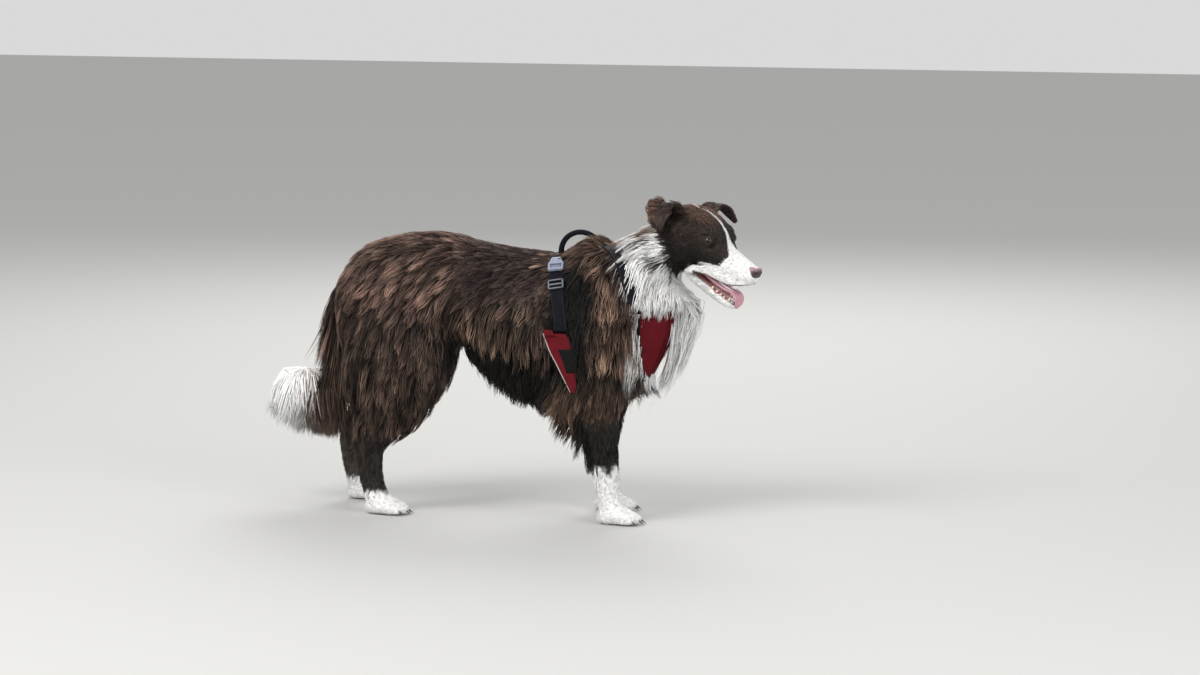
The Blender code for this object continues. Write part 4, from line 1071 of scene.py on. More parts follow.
# Deep in the nostrils the colour is darkened to near black: painted shade.
add_colour(nose.data, "leather_colour_and_hollow_shade", nose_paint * (1 - 0.85 * ramp(depth, 0.0015, 0.0042))[:, None])
use = Surface("nose_leather", (0.2, 0.12, 0.13), 0.38, coat=0.35, coat_roughness=0.25)
pebbles = use.add("TexVoronoi", feature="SMOOTH_F1")
pebbles.inputs["Scale"].default_value = 1500
use.feed(pebbles.inputs["Vector"], use.place())
mottle = use.noise(use.place(), 260, 3.0)
mottled = use.tint(use.stored("leather_colour_and_hollow_shade", "Color"), use.spread(mottle, 0.75, 1.2))
use.look(mottled, use.spread(mottle, 0.30, 0.48))
use.bump(pebbles.outputs["Distance"], 0.00025, 0.8)
dressed(nose, use, "nose", slot="nose_skin")
print("nose:", len(nose.data.vertices), "points")

# %% [markdown]
# ## Tongue, teeth and claws
#
# The tongue is a loft with a groove along its middle, and hangs a little over the front teeth.
# Only lower teeth show: six small incisors, two curved canines and the first cheek teeth. The
# claws are short, blunt, dark cones that leave the toes at a slant.

# %% Tongue
TONGUE = mm(
    (-20, 0, 2, 15, 4, 6), (10, 0, 3, 16, 4.5, 5), (36, 0, 6, 15.5, 4.5, 4.5), (52, 0, 10, 14, 4, 4),
    (63, 0, 11, 13, 3.5, 3.5), (71.5, 0, 6.5, 12.5, 3, 3), (75, 0, -2, 10.5, 2.8, 2.8),
    (75, 0, -9, 5, 2, 2),
)
grid = tube_grid(TONGUE, sides=48, between=8, squareness=2.5)
upper_face = np.sin(round_turns(48)) > 0
aside = np.abs(grid[..., 1])
grid[..., 2] += 0.0022 * ramp(aside, 0.006, 0.015) - 0.0016 * below(aside, 0.0004, 0.0040) * upper_face
tongue = closed_tube("visual_tongue", into(JAW_FRAME, grid))
use = Surface("wet_tongue", (0.50, 0.22, 0.26), 0.34, coat=0.5, coat_roughness=0.16)
use.look(use.blend(use.noise(use.place(), 90, 3.0), (0.62, 0.31, 0.37), (0.44, 0.19, 0.25)))
use.bump(use.noise(use.place(), 900), 0.00015, 0.5)
dressed(tongue, use, "tongue", slot="tongue")
print("tongue:", len(tongue.data.vertices), "points")


# %% Teeth
def cone_grid(root, tip, bend, radius, sides=10, steps=6, power=0.7):
    """Rings from root to tip: the centre bends by t*(1-t)*bend, the radius is r*(1-t)^power."""
    t = np.linspace(0, 0.985, steps)[:, None]
    centres = root * (1 - t) + tip * t + bend * (t * (1 - t) * 2)
    along = unit(tip - root)
    side_way = unit(np.cross(along, (0.3, 0.9, 0.2)))
    turns = round_turns(sides)[:, None]
    circle = np.cos(turns) * side_way + np.sin(turns) * np.cross(side_way, along)
    return centres[:, None] + circle[None] * (radius * (1 - t) ** power)[:, None]


# A tooth's row: x and y on the right half of the jaw, height, radius, lean outwards.
TEETH = mm(
    (66, 1.6, 3.8, 1.5, 0), (65.2, 4.6, 3.8, 1.5, 0.3), (63.6, 7.4, 3.6, 1.5, 0.6),
    (58.5, 10.4, 8.8, 2.2, 1.8), (48, 12.5, 2.2, 2, 0.4), (40, 14.2, 3, 2.2, 0.4),
    (31, 16, 3.6, 2.4, 0.4), (20, 17.8, 4.4, 2.8, 0.4),
)
use = Surface("tooth_enamel", (0.78, 0.72, 0.60), 0.22, coat=0.4)
use.look(use.blend(use.noise(use.place(), 240), (0.82, 0.78, 0.68), (0.62, 0.52, 0.36)))
pieces = []
for x, y, height, radius, lean in TEETH:
    for side in (-1, 1):
        root = np.array((x, y * side, -0.0055))
        tip = root + (0.0006, lean * side, height + 0.0025)
        grid = cone_grid(root, tip, np.array((0.0010, 0, 0)), radius)
        pieces.append(closed_tube("tooth", into(JAW_FRAME, grid)))
dressed(joined("teeth", pieces), use).data.shade_smooth()
print("teeth:", len(pieces))

# %% Claws
use = Surface("claw_horn", (0.05, 0.04, 0.035), 0.35)
use.look(use.blend(use.noise(use.place((1, 1, 3)), 300), (0.035, 0.028, 0.024), (0.13, 0.10, 0.08)))
pieces = []
for foot in FEET:
    for aside, reach, half in TOES:
        root = np.array(foot) + (reach - 0.006, aside * 1.02, 0.0095)
        tip = np.array(foot) + (reach + 0.0085, aside * 1.05, 0.0022)
        pieces.append(closed_tube("claw", cone_grid(root, tip, np.array((0, 0, 0.004)), 0.0028)))
dressed(joined("claws", pieces), use).data.shade_smooth()
print("claws:", len(pieces))

# %% [markdown]
# ## The harness
#
# The harness is made of bands. A band is a line laid a little below the tips of the coat, with a
# flat rounded section carried along it. Rays are shot at the outline of the coat to find the
# line, which is then evened out, because webbing doesn't follow every dip. Each band keeps its
# length and width in metres as a UV map, so that the weave and the stitches run with the cloth.

# %% Bands
GIRTH_CENTRE = 0.370
STRAP_WIDTH, STRAP_THICK, STRAP_SINK = 0.026, 0.003, 0.013


def laid_on(tree, origins, directions, sinks):
    """Where each direction leaves the coat, less the depth that the band is pressed in."""
    directions = unit(directions)
    starts = origins + directions * 0.4
    hits = [tree.ray_cast(p, w)[0] for p, w in zip(starts.tolist(), (-directions).tolist())]
    return np.array(hits) - directions * np.reshape(sinks, (-1, 1))


def evened(rows, rounds):
    """Every row but the two ends moved to (before + 2*row + after) / 4, in rounds."""
    for _ in range(rounds):
        rows[1:-1] = (rows[:-2] + 2 * rows[1:-1] + rows[2:]) / 4
    return rows


def gone_along(path):
    """How far along a path each of its points lies."""
    return np.append(0, np.cumsum(np.linalg.norm(np.diff(path, axis=0), axis=1)))


def cloth_tube(name, path, grid, widths):
    """A closed tube whose UV map `weave` is metres along and across the cloth."""
    gone = gone_along(path)
    piece = closed_tube(name, grid)
    lengths = np.append(np.repeat(gone, grid.shape[1]), (gone[0], gone[-1]))
    add_map(piece.data, "weave", lengths, np.append(widths, (0, 0)))
    return piece


def shell(name, rows, thick, sides=44, power=3.2, window=(-1, 1), lift=0.0):
    """A cushion over rows of (middle, way out, across): middle + across*u + out*(thick/2)*v.

    (u, v) runs round an oval. A row may go on with how far its edges lie back and turn aside.
    """
    middle, outward, sideways = rows[:, :3], unit(rows[:, 3:6]), rows[:, 6:9]
    lie_back, turn_out = np.pad(rows, ((0, 0), (0, 2)))[:, 9:11].T[..., None]
    flat, deep = oval(sides, power)
    flat = (window[0] + window[1]) / 2 + flat * (window[1] - window[0]) / 2
    bow = unit(outward[:, None] + (turn_out * flat)[..., None] * unit(sideways)[:, None])
    grid = middle[:, None] + sideways[:, None] * flat[:, None] + bow * (lift + deep * thick / 2)[:, None]
    grid[..., 0] -= lie_back * flat**2
    return cloth_tube(name, middle, grid, np.linalg.norm(sideways, axis=1)[:, None] * flat)


def band(name, middle, out, across, thick, between=6, sides=28, power=7.0):
    """A flat strap along a line; `across` reaches from the line to an edge."""
    rows = np.hstack([middle, out, np.broadcast_to(across, middle.shape)])
    return shell(name, curve_rows(rows, between), thick, sides, power)


# %% [markdown]
# ### Webbing, fabric and plastic
#
# Webbing is woven in ribs about a millimetre and a half apart, with a row of stitches inside each
# edge. The red fabric is a finer plain weave, a little shiny, and darker where it is rubbed. The
# buckles are grey nylon with the faint grain of a mould.


# %% Harness materials
STITCHES_PER_METRE, STITCH_SHARE, STITCH_HALF = 300.0, 0.68, 0.00035


def woven(name, dark, light, pitch, roughness, depth, seam=None):
    """A cloth material: two crossed waves as bump and as painted shade in the hollows of the weave, a cloudy
    tone, and stitches at +-seam.
    """
    use = Surface(name, light, roughness, specular=0.12)
    where = use.place(uv="weave")
    ribs = []
    for direction, step in (("X", pitch), ("Y", pitch * 1.35)):
        wave = use.add("TexWave", bands_direction=direction)
        wave.inputs["Scale"].default_value = math.tau / (20 * step)
        wave.inputs["Distortion"].default_value = 0.4
        use.feed(wave.inputs["Vector"], where)
        ribs.append(wave.outputs["Fac"])
    height = use.math("MULTIPLY", *ribs)
    cloud = use.noise(where, 55, 4.0)
    fuzz = use.noise(where, 1500)
    # The colour darkens towards the low places of the weave: painted shade between the threads.
    tone = use.math("MULTIPLY", use.spread(height, 0.55, 1.0, 0, 1), use.spread(cloud, 0.4, 1.1))
    colour = use.blend(tone, dark, light)
    if seam:
        split = use.add("SeparateXYZ")
        use.feed(split.inputs[0], where)
        off = use.math("ABSOLUTE", use.math("SUBTRACT", use.math("ABSOLUTE", split.outputs[1]), seam))
        count = use.math("MULTIPLY", split.outputs[0], STITCHES_PER_METRE)
        dash = use.math("LESS_THAN", use.math("FRACT", count), STITCH_SHARE)
        stitch = use.math("MULTIPLY", use.math("LESS_THAN", off, STITCH_HALF), dash)
        colour = use.blend(stitch, colour, tuple(min(1.0, 2.2 * c + 0.02) for c in light))
        height = use.math("ADD", height, use.math("MULTIPLY", stitch, 1.5))
    use.look(colour, use.spread(fuzz, roughness - 0.06, roughness + 0.08))
    use.bump(use.math("ADD", height, use.math("MULTIPLY", fuzz, 0.3)), depth, 0.9)
    return use


webbing = woven("black_webbing", (0.002, 0.0023, 0.004), (0.007, 0.008, 0.013), 0.0016, 0.68, 0.0004, 0.0104)
red_cloth = woven("red_fabric", (0.060, 0.002, 0.005), (0.155, 0.004, 0.011), 0.0011, 0.58, 0.00025)
binding = woven("black_binding", (0.0015, 0.0015, 0.002), (0.005, 0.005, 0.006), 0.0010, 0.58, 0.00025)
piping = woven("pale_piping", (0.27, 0.25, 0.23), (0.62, 0.60, 0.56), 0.0012, 0.36, 0.0002)


def moulded(name, colour, roughness):
    """A plastic material: a fine grain as bump, and a cloudy, worn tone."""
    use = Surface(name, colour, roughness)
    worn = use.noise(use.place(), 130, 4.0)
    colour = use.blend(worn, tuple(c * 0.8 for c in colour), tuple(c * 1.25 for c in colour))
    use.look(colour, use.spread(worn, roughness - 0.07, roughness + 0.10))
    use.bump(use.noise(use.place(), 1800), 0.00012, 0.6)
    return use


buckle_plastic = moulded("grey_nylon", (0.225, 0.255, 0.335), 0.36)
slider_plastic = moulded("dark_nylon", (0.045, 0.052, 0.070), 0.34)
print("cloths: webbing, red fabric, binding and piping; plastics: grey and dark nylon")

# %% Girth and belly straps
forms = [loft(rows) for rows in (TRUNK, NECK, BIB)]
chest_form = grown_together("chest_form", forms, COAT_VOXEL, COAT_ROUNDS)
chest_tree = BVHTree.FromObject(chest_form, bpy.context.evaluated_depsgraph_get())
bpy.data.objects.remove(chest_form)
HALF_STRAP = (STRAP_WIDTH / 2, 0, 0)


def round_the_trunk(tree, first, last, steps, lean, sinks):
    """Middle line and way out of a band round the trunk: angle 0 is up, 90 the dog's right."""
    angles = np.linspace(first, last, steps)
    turns = np.radians(angles)
    sideways = np.abs((angles + 90) % 180 - 90) / 90
    x = lean[0] + (lean[1] - lean[0]) * sideways
    out = columns(0, -np.sin(turns), np.cos(turns))
    middle = laid_on(tree, columns(x, 0, GIRTH_CENTRE), out, sinks[0] + (sinks[1] - sinks[0]) * sideways)
    return evened(middle, 2), out


girth_middle, girth_out = round_the_trunk(form_tree, -94, 94, 19, (0.084, 0.122), (STRAP_SINK, STRAP_SINK))
girth = band("girth_strap", girth_middle, girth_out, HALF_STRAP, STRAP_THICK)
dressed(girth, webbing, "harness_girth_strap", slot="black_webbing")
belly_line = round_the_trunk(chest_tree, 137, 223, 11, (0.128, 0.152), (0.028, 0.014))
belly = band("belly_strap", *belly_line, HALF_STRAP, STRAP_THICK)
dressed(belly, webbing, "harness_belly_strap", slot="black_webbing")

# %% Neck straps and handle
for side, name in ((-1, "right"), (1, "left")):
    t = np.linspace(0, 1, 12)
    turns = np.radians(14 + 84 * t)
    directions = columns(0.10 + 0.62 * t, side * np.sin(turns), np.cos(turns) + 0.05)
    origins = columns(0.175 + 0.030 * t, 0, 0.430 - 0.028 * t)
    middle = evened(laid_on(form_tree, origins, directions, STRAP_SINK + 0.004 + 0.006 * t), 3)
    out = unit(directions)
    across = unit(np.cross(np.gradient(middle, axis=0), out)) * STRAP_WIDTH / 2
    collar = band(f"neck_strap_{name}", middle, out, across, STRAP_THICK)
    dressed(collar, webbing, f"harness_neck_strap_{name}", slot="black_webbing")

turns = np.linspace(-0.10, 1.10, 25) * math.pi
arch = columns(0.126 - 0.038 * np.cos(turns), 0, 0.498 + 0.036 * np.sin(turns))
outward = columns(-np.cos(turns), 0, np.sin(turns))
handle = band("grab_handle", arch, outward, (0, 0.0058, 0), 0.0098, 4, 24, 3.0)
dressed(handle, webbing, "harness_handle", slot="black_webbing")
print("webbing: girth, belly, two neck straps and handle")

# %% [markdown]
# ### Padded panels
#
# The red panels are thin cushions: a band whose section is an oval, thick in its middle and
# drawn in at its edges, where a tape is sewn round. The tape is a thin tube carried along the
# edge. Each side panel has a pale reflective piping behind and a black patch; the breast plate
# is bound in black and wraps round the chest.


# %% Side panels
def cord_along(name, path, out, radius, closed=False, sides=12):
    """A tube along a path: path + r*(out*cos(a) + (out x along)*sin(a))."""
    if closed:
        along = unit(np.roll(path, -1, axis=0) - np.roll(path, 1, axis=0))
    else:
        along = unit(np.gradient(path, axis=0))
    out = unit(out - along * (out * along).sum(axis=1, keepdims=True))
    turns = round_turns(sides)[:, None]
    aside = np.sin(turns) * np.cross(out, along)[:, None]
    grid = path[:, None] + radius * (np.cos(turns) * out[:, None] + aside)
    widths = np.tile(turns[:, 0] * radius, len(path))
    if not closed:
        return cloth_tube(name, path, grid, widths)
    place = np.arange(len(path) * sides).reshape(len(path), sides)
    ahead, after = np.roll(place, -1, axis=0), np.roll(place, -1, axis=1)
    quads = np.stack([place, after, np.roll(ahead, -1, axis=1), ahead], axis=-1).reshape(-1, 4)
    piece = mesh_object(name, grid.reshape(-1, 3), quads)
    add_map(piece.data, "weave", np.repeat(gone_along(path), sides), widths)
    return piece


# Rows of a side panel from the girth strap down: x, z, half width.
SIDE_PANEL = mm(
    (108, 354, 21.5), (117, 334, 24), (125, 314, 24.5), (132, 292, 20), (137, 270, 15), (142, 249, 10),
    (146, 230, 6),
)
PANEL_THICK = 0.006
PATCH_ROWS, TAB_ROWS = slice(13, 31), slice(0, 6)
for side, name in ((-1, "right"), (1, "left")):
    px, pz, half = SIDE_PANEL.T
    directions = columns(0, side * 0.135, pz - GIRTH_CENTRE)
    middle = laid_on(form_tree, columns(px, 0, GIRTH_CENTRE), directions, STRAP_SINK + 0.002)
    middle = evened(middle, 1)
    rows = curve_rows(np.hstack([middle, unit(directions), half[:, None] * X_WAY]), 8)
    panel = shell(f"side_panel_{name}", rows, PANEL_THICK)
    dressed(panel, red_cloth, f"harness_side_panel_{name}", slot="red_fabric")
    patch = shell(f"side_patch_{name}", rows[PATCH_ROWS], 0.0022, 32, 9.0, (-0.22, 0.86), 0.0034)
    dressed(patch, binding, slot="black_webbing")
    rear, fore = rows[:, :3] - rows[:, 6:9], rows[:, :3] + rows[:, 6:9]
    dressed(cord_along(f"side_piping_{name}", rear, rows[:, 3:6], 0.0016), piping)
    dressed(cord_along(f"side_edge_{name}", fore, rows[:, 3:6], 0.0014), binding, slot="black_webbing")
    tab_rows = rows[TAB_ROWS].copy()
    tab_rows[:, :3] -= tab_rows[:, 6:9] * 0.55
    tab_rows[:, 2] += 0.007
    tab_rows[:, 6:9] *= 0.40
    tab = shell(f"side_tab_{name}", tab_rows, 0.003, 28, 7.0, lift=0.0040)
    dressed(tab, red_cloth, slot="red_fabric")
print("side panels:", len(rows), "rows each")

# %% Breast plate
pz, px, half = CHEST_PLATE.T
rows = columns(px, 0, pz, 1, 0, -0.25, 0, half, 0, ROUNDING * half**2, 2 * ROUNDING * half)
rows = curve_rows(rows, 8)
plate = shell("breast_plate", rows, PANEL_THICK, 72, 4.0)
dressed(plate, red_cloth, "harness_chest_plate", slot="red_fabric")


def on_plate(row, c):
    """A point on the plate's middle face, c from -1 to 1 across the row."""
    y = row[..., 7] * c
    return columns(row[..., 0] - ROUNDING * y**2, y, row[..., 2])


def plate_out(y):
    """The way out of the plate, y aside of its middle."""
    return unit(columns(1, 2 * ROUNDING * y, -0.25))


edge = np.concatenate([
    on_plate(rows, -1.0), on_plate(rows[-1:], np.linspace(-0.9, 0.9, 9)),
    on_plate(rows[::-1], 1.0), on_plate(rows[:1], np.linspace(0.95, -0.95, 24)),
])
tape = cord_along("breast_plate_edge", edge, plate_out(edge[:, 1]), 0.0034, closed=True)
dressed(tape, binding, slot="black_webbing")
seam_rows = rows[6:-4]
for k, c in enumerate((-0.42, 0.42)):
    line = on_plate(seam_rows, c) + plate_out(seam_rows[:, 7] * c) * 0.0029
    line_out = np.tile((1.0, 0.0, -0.25), (len(seam_rows), 1))
    seam = cord_along(f"breast_plate_seam_{k + 1}", line, line_out, 0.0007, sides=8)
    dressed(seam, binding, slot="black_webbing")
print("breast plate:", len(rows), "rows, edge tape and two seams")

# %% [markdown]
# ### Buckles and sliders
#
# A side-release buckle is a few moulded bars: a tongue with a thumb pad, a body, two arms and a
# crossbar with ribs between them. Every bar is a ball of directions pushed out to a rounded box,
# and a taper makes the tongue narrower at its end. All the bars of a buckle are one mesh.

# %% Buckles
GRIP_BARS = (  # along, across, out of the middle; half sizes; taper: all in millimetres
    (-10.5, 0, 0.2, 7.0, 10.6, 2.7, 0.020), (-9.5, 0, 2.9, 4.6, 6.6, 1.0, 0), (-1.6, 0, 0, 3.4, 13.6, 3.6, 0),
    (6.5, -12.4, -0.4, 10.5, 2.1, 2.9, 0), (6.5, 12.4, -0.4, 10.5, 2.1, 2.9, 0),
    (15.6, 0, -0.3, 2.1, 14.2, 2.9, 0), (4.4, 0, -1.2, 0.9, 10.8, 1.6, 0),
    (7.4, 0, -1.2, 0.9, 10.8, 1.6, 0), (10.4, 0, -1.2, 0.9, 10.8, 1.6, 0),
)
SLIDER_BARS = (
    (-8.3, 0, 0.2, 1.7, 14.6, 2.1, 0), (8.3, 0, 0.2, 1.7, 14.6, 2.1, 0), (0, 0, -0.2, 2.0, 13.0, 1.7, 0),
    (0, -13.2, 0, 8.6, 1.8, 2.0, 0), (0, 13.2, 0, 8.6, 1.8, 2.0, 0),
)


def rounded_bar(row):
    """A box with soft edges, its half width y grown by 1 + taper*x."""
    middle, half = np.reshape(row[:6], (2, 3)) / 1000
    ways = ball_grid(np.linspace(0.03, math.pi - 0.03, 26), round_turns(32), X_WAY, Y_WAY, Z_WAY)
    points = boxed(ways, 7.0) * half
    points[..., 1] *= 1 + row[6] * points[..., 0] * 1000
    return points + middle


def clipped_on(name, bars, row, side, lift, plastic):
    """Joins the bars and seats them on the girth strap at one of its rows."""
    along = unit(girth_middle[row + 1] - girth_middle[row - 1]) * -side
    out = unit(girth_out[row] - along * (girth_out[row] @ along))
    seat = girth_middle[row] + out * lift
    axes = np.stack([along, np.cross(out, along), out])
    pieces = [closed_tube("bar", rounded_bar(bar) @ axes + seat) for bar in bars]
    dressed(joined(name, pieces), plastic, "harness_" + name, slot="buckle_plastic").data.shade_smooth()


for side, name, buckle_row, slider_row in ((-1, "right", 12, 14), (1, "left", 6, 4)):
    clipped_on(f"buckle_{name}", GRIP_BARS, buckle_row, side, STRAP_THICK / 2 + 0.0042, buckle_plastic)
    clipped_on(f"slider_{name}", SLIDER_BARS, slider_row, side, STRAP_THICK / 2 + 0.0027, slider_plastic)
print("buckles and sliders:", len(GRIP_BARS), "and", len(SLIDER_BARS), "bars each")

# %% [markdown]
# ## The coat
#
# Real hair would be millions of curves. Here a lock of many hairs is one thin, closed, pointed
# spike with three sides, bent in four steps. About 55,000 of them, and 20,000 short tufts on the
# face and the legs, overlap like roof tiles. Each starts at a seeded random place on the skin. Its
# direction, length and wave are blended from the nearest rows of a combing table, so that the lie
# of the coat changes smoothly from neck to tail.
#
# A combing row says where on the dog it holds (x, y, z, all on one side and mirrored), the way
# the tips point, the length in millimetres, how far it clings to the body (1) or hangs free (0),
# and its wave in millimetres.

# %% Combing table
COMB = np.array((
    (-300, 0, 500, -1, 0, -0.35, 50, 1, 3), (-200, 0, 530, -1, 0, -0.2, 55, 1, 4),
    (-120, 0, 525, -1, 0, -0.12, 45, 1, 2), (-50, 0, 515, -1, 0, -0.1, 38, 1, 0.8),
    (40, 0, 510, -1, 0, -0.08, 35, 1, 0.8), (130, 0, 530, -0.9, 0, 0.05, 50, 1, 2),
    (170, 0, 530, -0.8, 0, 0.1, 50, 1, 2), (-280, 90, 450, -0.7, 0.1, -0.8, 60, 1, 4),
    (-200, 100, 460, -0.6, 0.1, -0.8, 60, 1, 4), (-120, 110, 450, -0.6, 0, -0.8, 55, 1, 3),
    (-60, 100, 460, -0.9, 0, -0.5, 35, 1, 0.8), (30, 100, 450, -0.9, 0, -0.5, 32, 1, 0.8),
    (100, 110, 430, -0.4, 0, -1, 30, 1, 0.8), (190, 100, 440, -0.1, 0, -1, 60, 1, 4),
    (-120, 115, 400, -0.25, 0.05, -1, 70, 1, 3), (-30, 120, 380, -0.15, 0.05, -1, 75, 1, 2),
    (50, 125, 360, -0.1, 0.05, -1, 70, 1, 2), (110, 130, 360, -0.05, 0.03, -1, 40, 1, 1),
    (150, 120, 420, -0.15, 0, -1, 34, 1, 0.8), (140, 130, 360, -0.1, 0, -1, 36, 1, 0.8),
    (200, 120, 380, -0.1, 0.03, -1, 66, 1, 4), (160, 130, 340, -0.05, 0.03, -1, 70, 1, 3.5),
    (-90, 80, 310, -0.1, 0, -1, 55, 0.7, 2), (-20, 90, 260, -0.15, 0, -1, 72, 0.3, 4),
    (50, 90, 240, -0.2, 0, -1, 74, 0.3, 4), (-50, 0, 260, -0.25, 0, -1, 62, 0.2, 3),
    (60, 0, 220, -0.25, 0, -1, 60, 0.2, 3), (140, 0, 200, -0.3, 0, -1, 50, 0.7, 2),
    (-340, 40, 420, -0.3, 0, -1, 55, 1, 3), (-340, 70, 360, -0.2, 0, -1, 70, 1, 3),
    (-250, 120, 360, -0.25, 0, -1, 70, 1, 5), (-150, 120, 330, -0.2, 0, -1, 70, 1, 5),
    (-300, 100, 280, -0.25, 0, -1, 85, 0.8, 1.5), (-200, 120, 260, -0.1, 0, -1, 75, 0.8, 5),
    (-290, 90, 200, -0.2, 0, -1, 60, 0.6, 1.5), (-180, 110, 200, -0.15, 0, -1, 50, 0.8, 3),
    (-250, 85, 150, -0.25, 0, -1, 26, 1, 0.8), (-270, 80, 120, -0.3, 0, -1, 20, 1, 0.5),
    (-250, 80, 70, -0.1, 0, -1, 10, 1, 0.2), (-220, 80, 20, 0.8, 0, -0.3, 6, 1, 0.1),
    (180, 100, 300, -0.1, 0, -1, 60, 1, 3.5), (190, 90, 230, -0.1, 0, -1, 45, 1, 2.5),
    (200, 80, 210, -0.1, 0, -1, 22, 1, 1), (185, 108, 200, -0.2, 0, -1, 20, 1, 1),
    (205, 90, 175, -0.05, 0, -1, 13, 1, 0.5), (185, 105, 160, -0.1, 0, -1, 13, 1, 0.5),
    (190, 50, 175, -0.1, 0, -1, 14, 1, 0.5), (200, 80, 120, 0, 0, -1, 10, 1, 0.2),
    (200, 80, 60, 0, 0, -1, 8, 1, 0.1), (235, 75, 20, 0.9, 0, -0.3, 6, 1, 0.1),
    (125, 85, 250, -0.6, 0, -1, 85, 0, 2.5), (135, 80, 205, -0.75, 0, -1, 85, 0, 2.5),
    (146, 78, 165, -0.7, 0, -1, 72, 0, 2), (156, 77, 128, -0.55, 0, -1, 50, 0, 1.5),
    (172, 77, 100, -0.15, 0, -1, 18, 0.6, 1), (180, 0, 540, -0.8, 0, -0.3, 50, 1, 2),
    (200, 70, 510, -0.5, 0.2, -0.8, 70, 1, 2.5), (250, 90, 480, -0.25, 0.2, -1, 80, 0.9, 2.5),
    (280, 50, 550, -0.7, 0.2, -0.6, 55, 1, 2), (330, 30, 450, 0.15, 0.05, -1, 85, 0.6, 3),
    (360, 0, 430, 0.15, 0, -1, 100, 0.5, 3), (340, 0, 400, 0.2, 0, -1, 115, 0.4, 3),
    (330, 60, 380, -0.1, 0.05, -1, 70, 0.8, 2), (310, 0, 320, 0.1, 0, -1, 80, 0.7, 2),
    (270, 0, 258, 0.7, 0, -1, 80, 0.1, 3), (260, 50, 275, 0.25, 0.05, -1, 85, 0.4, 3),
    (255, 80, 340, 0, 0.02, -1, 75, 0.9, 2), (240, 40, 240, 0.1, 0, -1, 62, 0.5, 2),
    (-330, 0, 430, -0.3, 0, -1, 55, 0.5, 2), (-345, 0, 360, -0.14, 0, -1, 75, 0, 3),
    (-355, 0, 300, -0.08, 0, -1, 85, 0, 3), (-370, 0, 240, -0.04, 0, -1, 85, 0, 1.5),
    (-410, 0, 240, -0.04, 0, -1, 75, 0, 0.6), (-442, 0, 252, -0.1, 0, -1, 75, 0, 0.6),
))
COMB[:, :3] /= 1000
# On the head the rows are in the head's own frame, and the depth of the hair is given last.
HEAD_COMB = np.array((
    (88, 0, 30, -1, 0, 0.1, 3.5, 0.6), (75, 15, 5, -1, 0.1, -0.3, 4, 0.8), (50, 20, 30, -1, 0, 0, 6, 1),
    (18, 0, 58, -1, 0, 0.6, 8, 1.3), (10, 30, 30, -1, 0.1, -0.05, 9, 1.6),
    (-5, 35, 80, -1, 0.1, 0.4, 9, 1.6), (-20, 0, 90, -1, 0, 0.3, 13, 3),
    (-60, 0, 115, -1, 0, 0.25, 26, 11), (-90, 0, 115, -1, 0, 0.3, 32, 13),
    (-20, 45, 40, -1, 0.1, -0.1, 14, 3), (-50, 55, 40, -1, 0.15, -0.25, 24, 6),
    (-70, 60, 20, -1, 0.2, -0.4, 32, 9), (-50, 45, -10, -0.9, 0.1, -0.5, 30, 8),
    (-80, 40, -25, -0.7, 0.1, -0.8, 38, 10), (50, 10, -30, -0.9, 0, -0.3, 6, 1),
    (10, 15, -45, -0.8, 0, -0.5, 12, 2.5), (-40, 10, -55, -0.7, 0, -0.7, 28, 7),
    (-110, 0, 80, -1, 0, -0.1, 34, 10), (-110, 45, 40, -0.9, 0.2, -0.5, 42, 12),
    (-85, 30, 95, -0.9, 0.3, 0.4, 24, 8), (-125, 45, 80, -1, 0.2, 0.25, 60, 21),
    (-118, 55, 95, -1, 0.2, 0.2, 34, 12), (-95, 50, 105, -0.9, 0.3, 0.1, 17, 4),
    (-100, 65, 80, -0.5, 0.2, -1, 18, 2.5), (-90, 72, 60, -0.4, 0.1, -1, 19, 2.5),
    (-118, 60, 60, -0.9, 0.2, -0.7, 40, 12), (-25, 36, 0, -1, 0.1, -0.3, 7, 1.4),
    (-36, 34, -16, -1, 0.1, -0.4, 10, 2), (-30, 28, -40, -0.9, 0.1, -0.5, 12, 2.5),
    (-50, 60, 100, 0.2, 0.5, -0.9, 10, 1.6), (-35, 72, 82, 0.4, 0.3, -1, 9, 1.5),
))
HEAD_COMB[:, :3] /= 1000
print("combing rows:", len(COMB), "on the body,", len(HEAD_COMB), "on the head")

# %% Combing
HEAD_SPOTS = (((0.045, 0, 0.000), 0.095), ((-0.104, -0.062, 0.092), 0.055), ((-0.050, 0.060, 0.098), 0.045))
SHORT_HAIR = 0.0165


def in_tail(points):
    """The dock and the plume."""
    return (points[:, 0] < -0.325) & (np.abs(points[:, 1]) < 0.028)


def in_mane(points):
    """The white hair that hangs from the throat over the breast plate."""
    return (points[:, 0] > 0.27) & (np.abs(points[:, 1] - 0.010) < 0.026)


def blended(table, points, sharpness=2.0, floor=0.012):
    """Rows blended at each point by weights 1 / (distance^2 + floor^2)^sharpness, and mirrored."""
    side = np.where(points[:, 1] < 0, -1.0, 1.0)
    right = columns(points[:, 0], points[:, 1] * side, points[:, 2])
    apart = ((right[:, None] - table[None, :, :3]) ** 2).sum(axis=-1) + floor**2
    weights = apart**-sharpness
    mixture = (weights / weights.sum(axis=1, keepdims=True)) @ table[:, 3:]
    mixture[:, 1] *= side
    return mixture


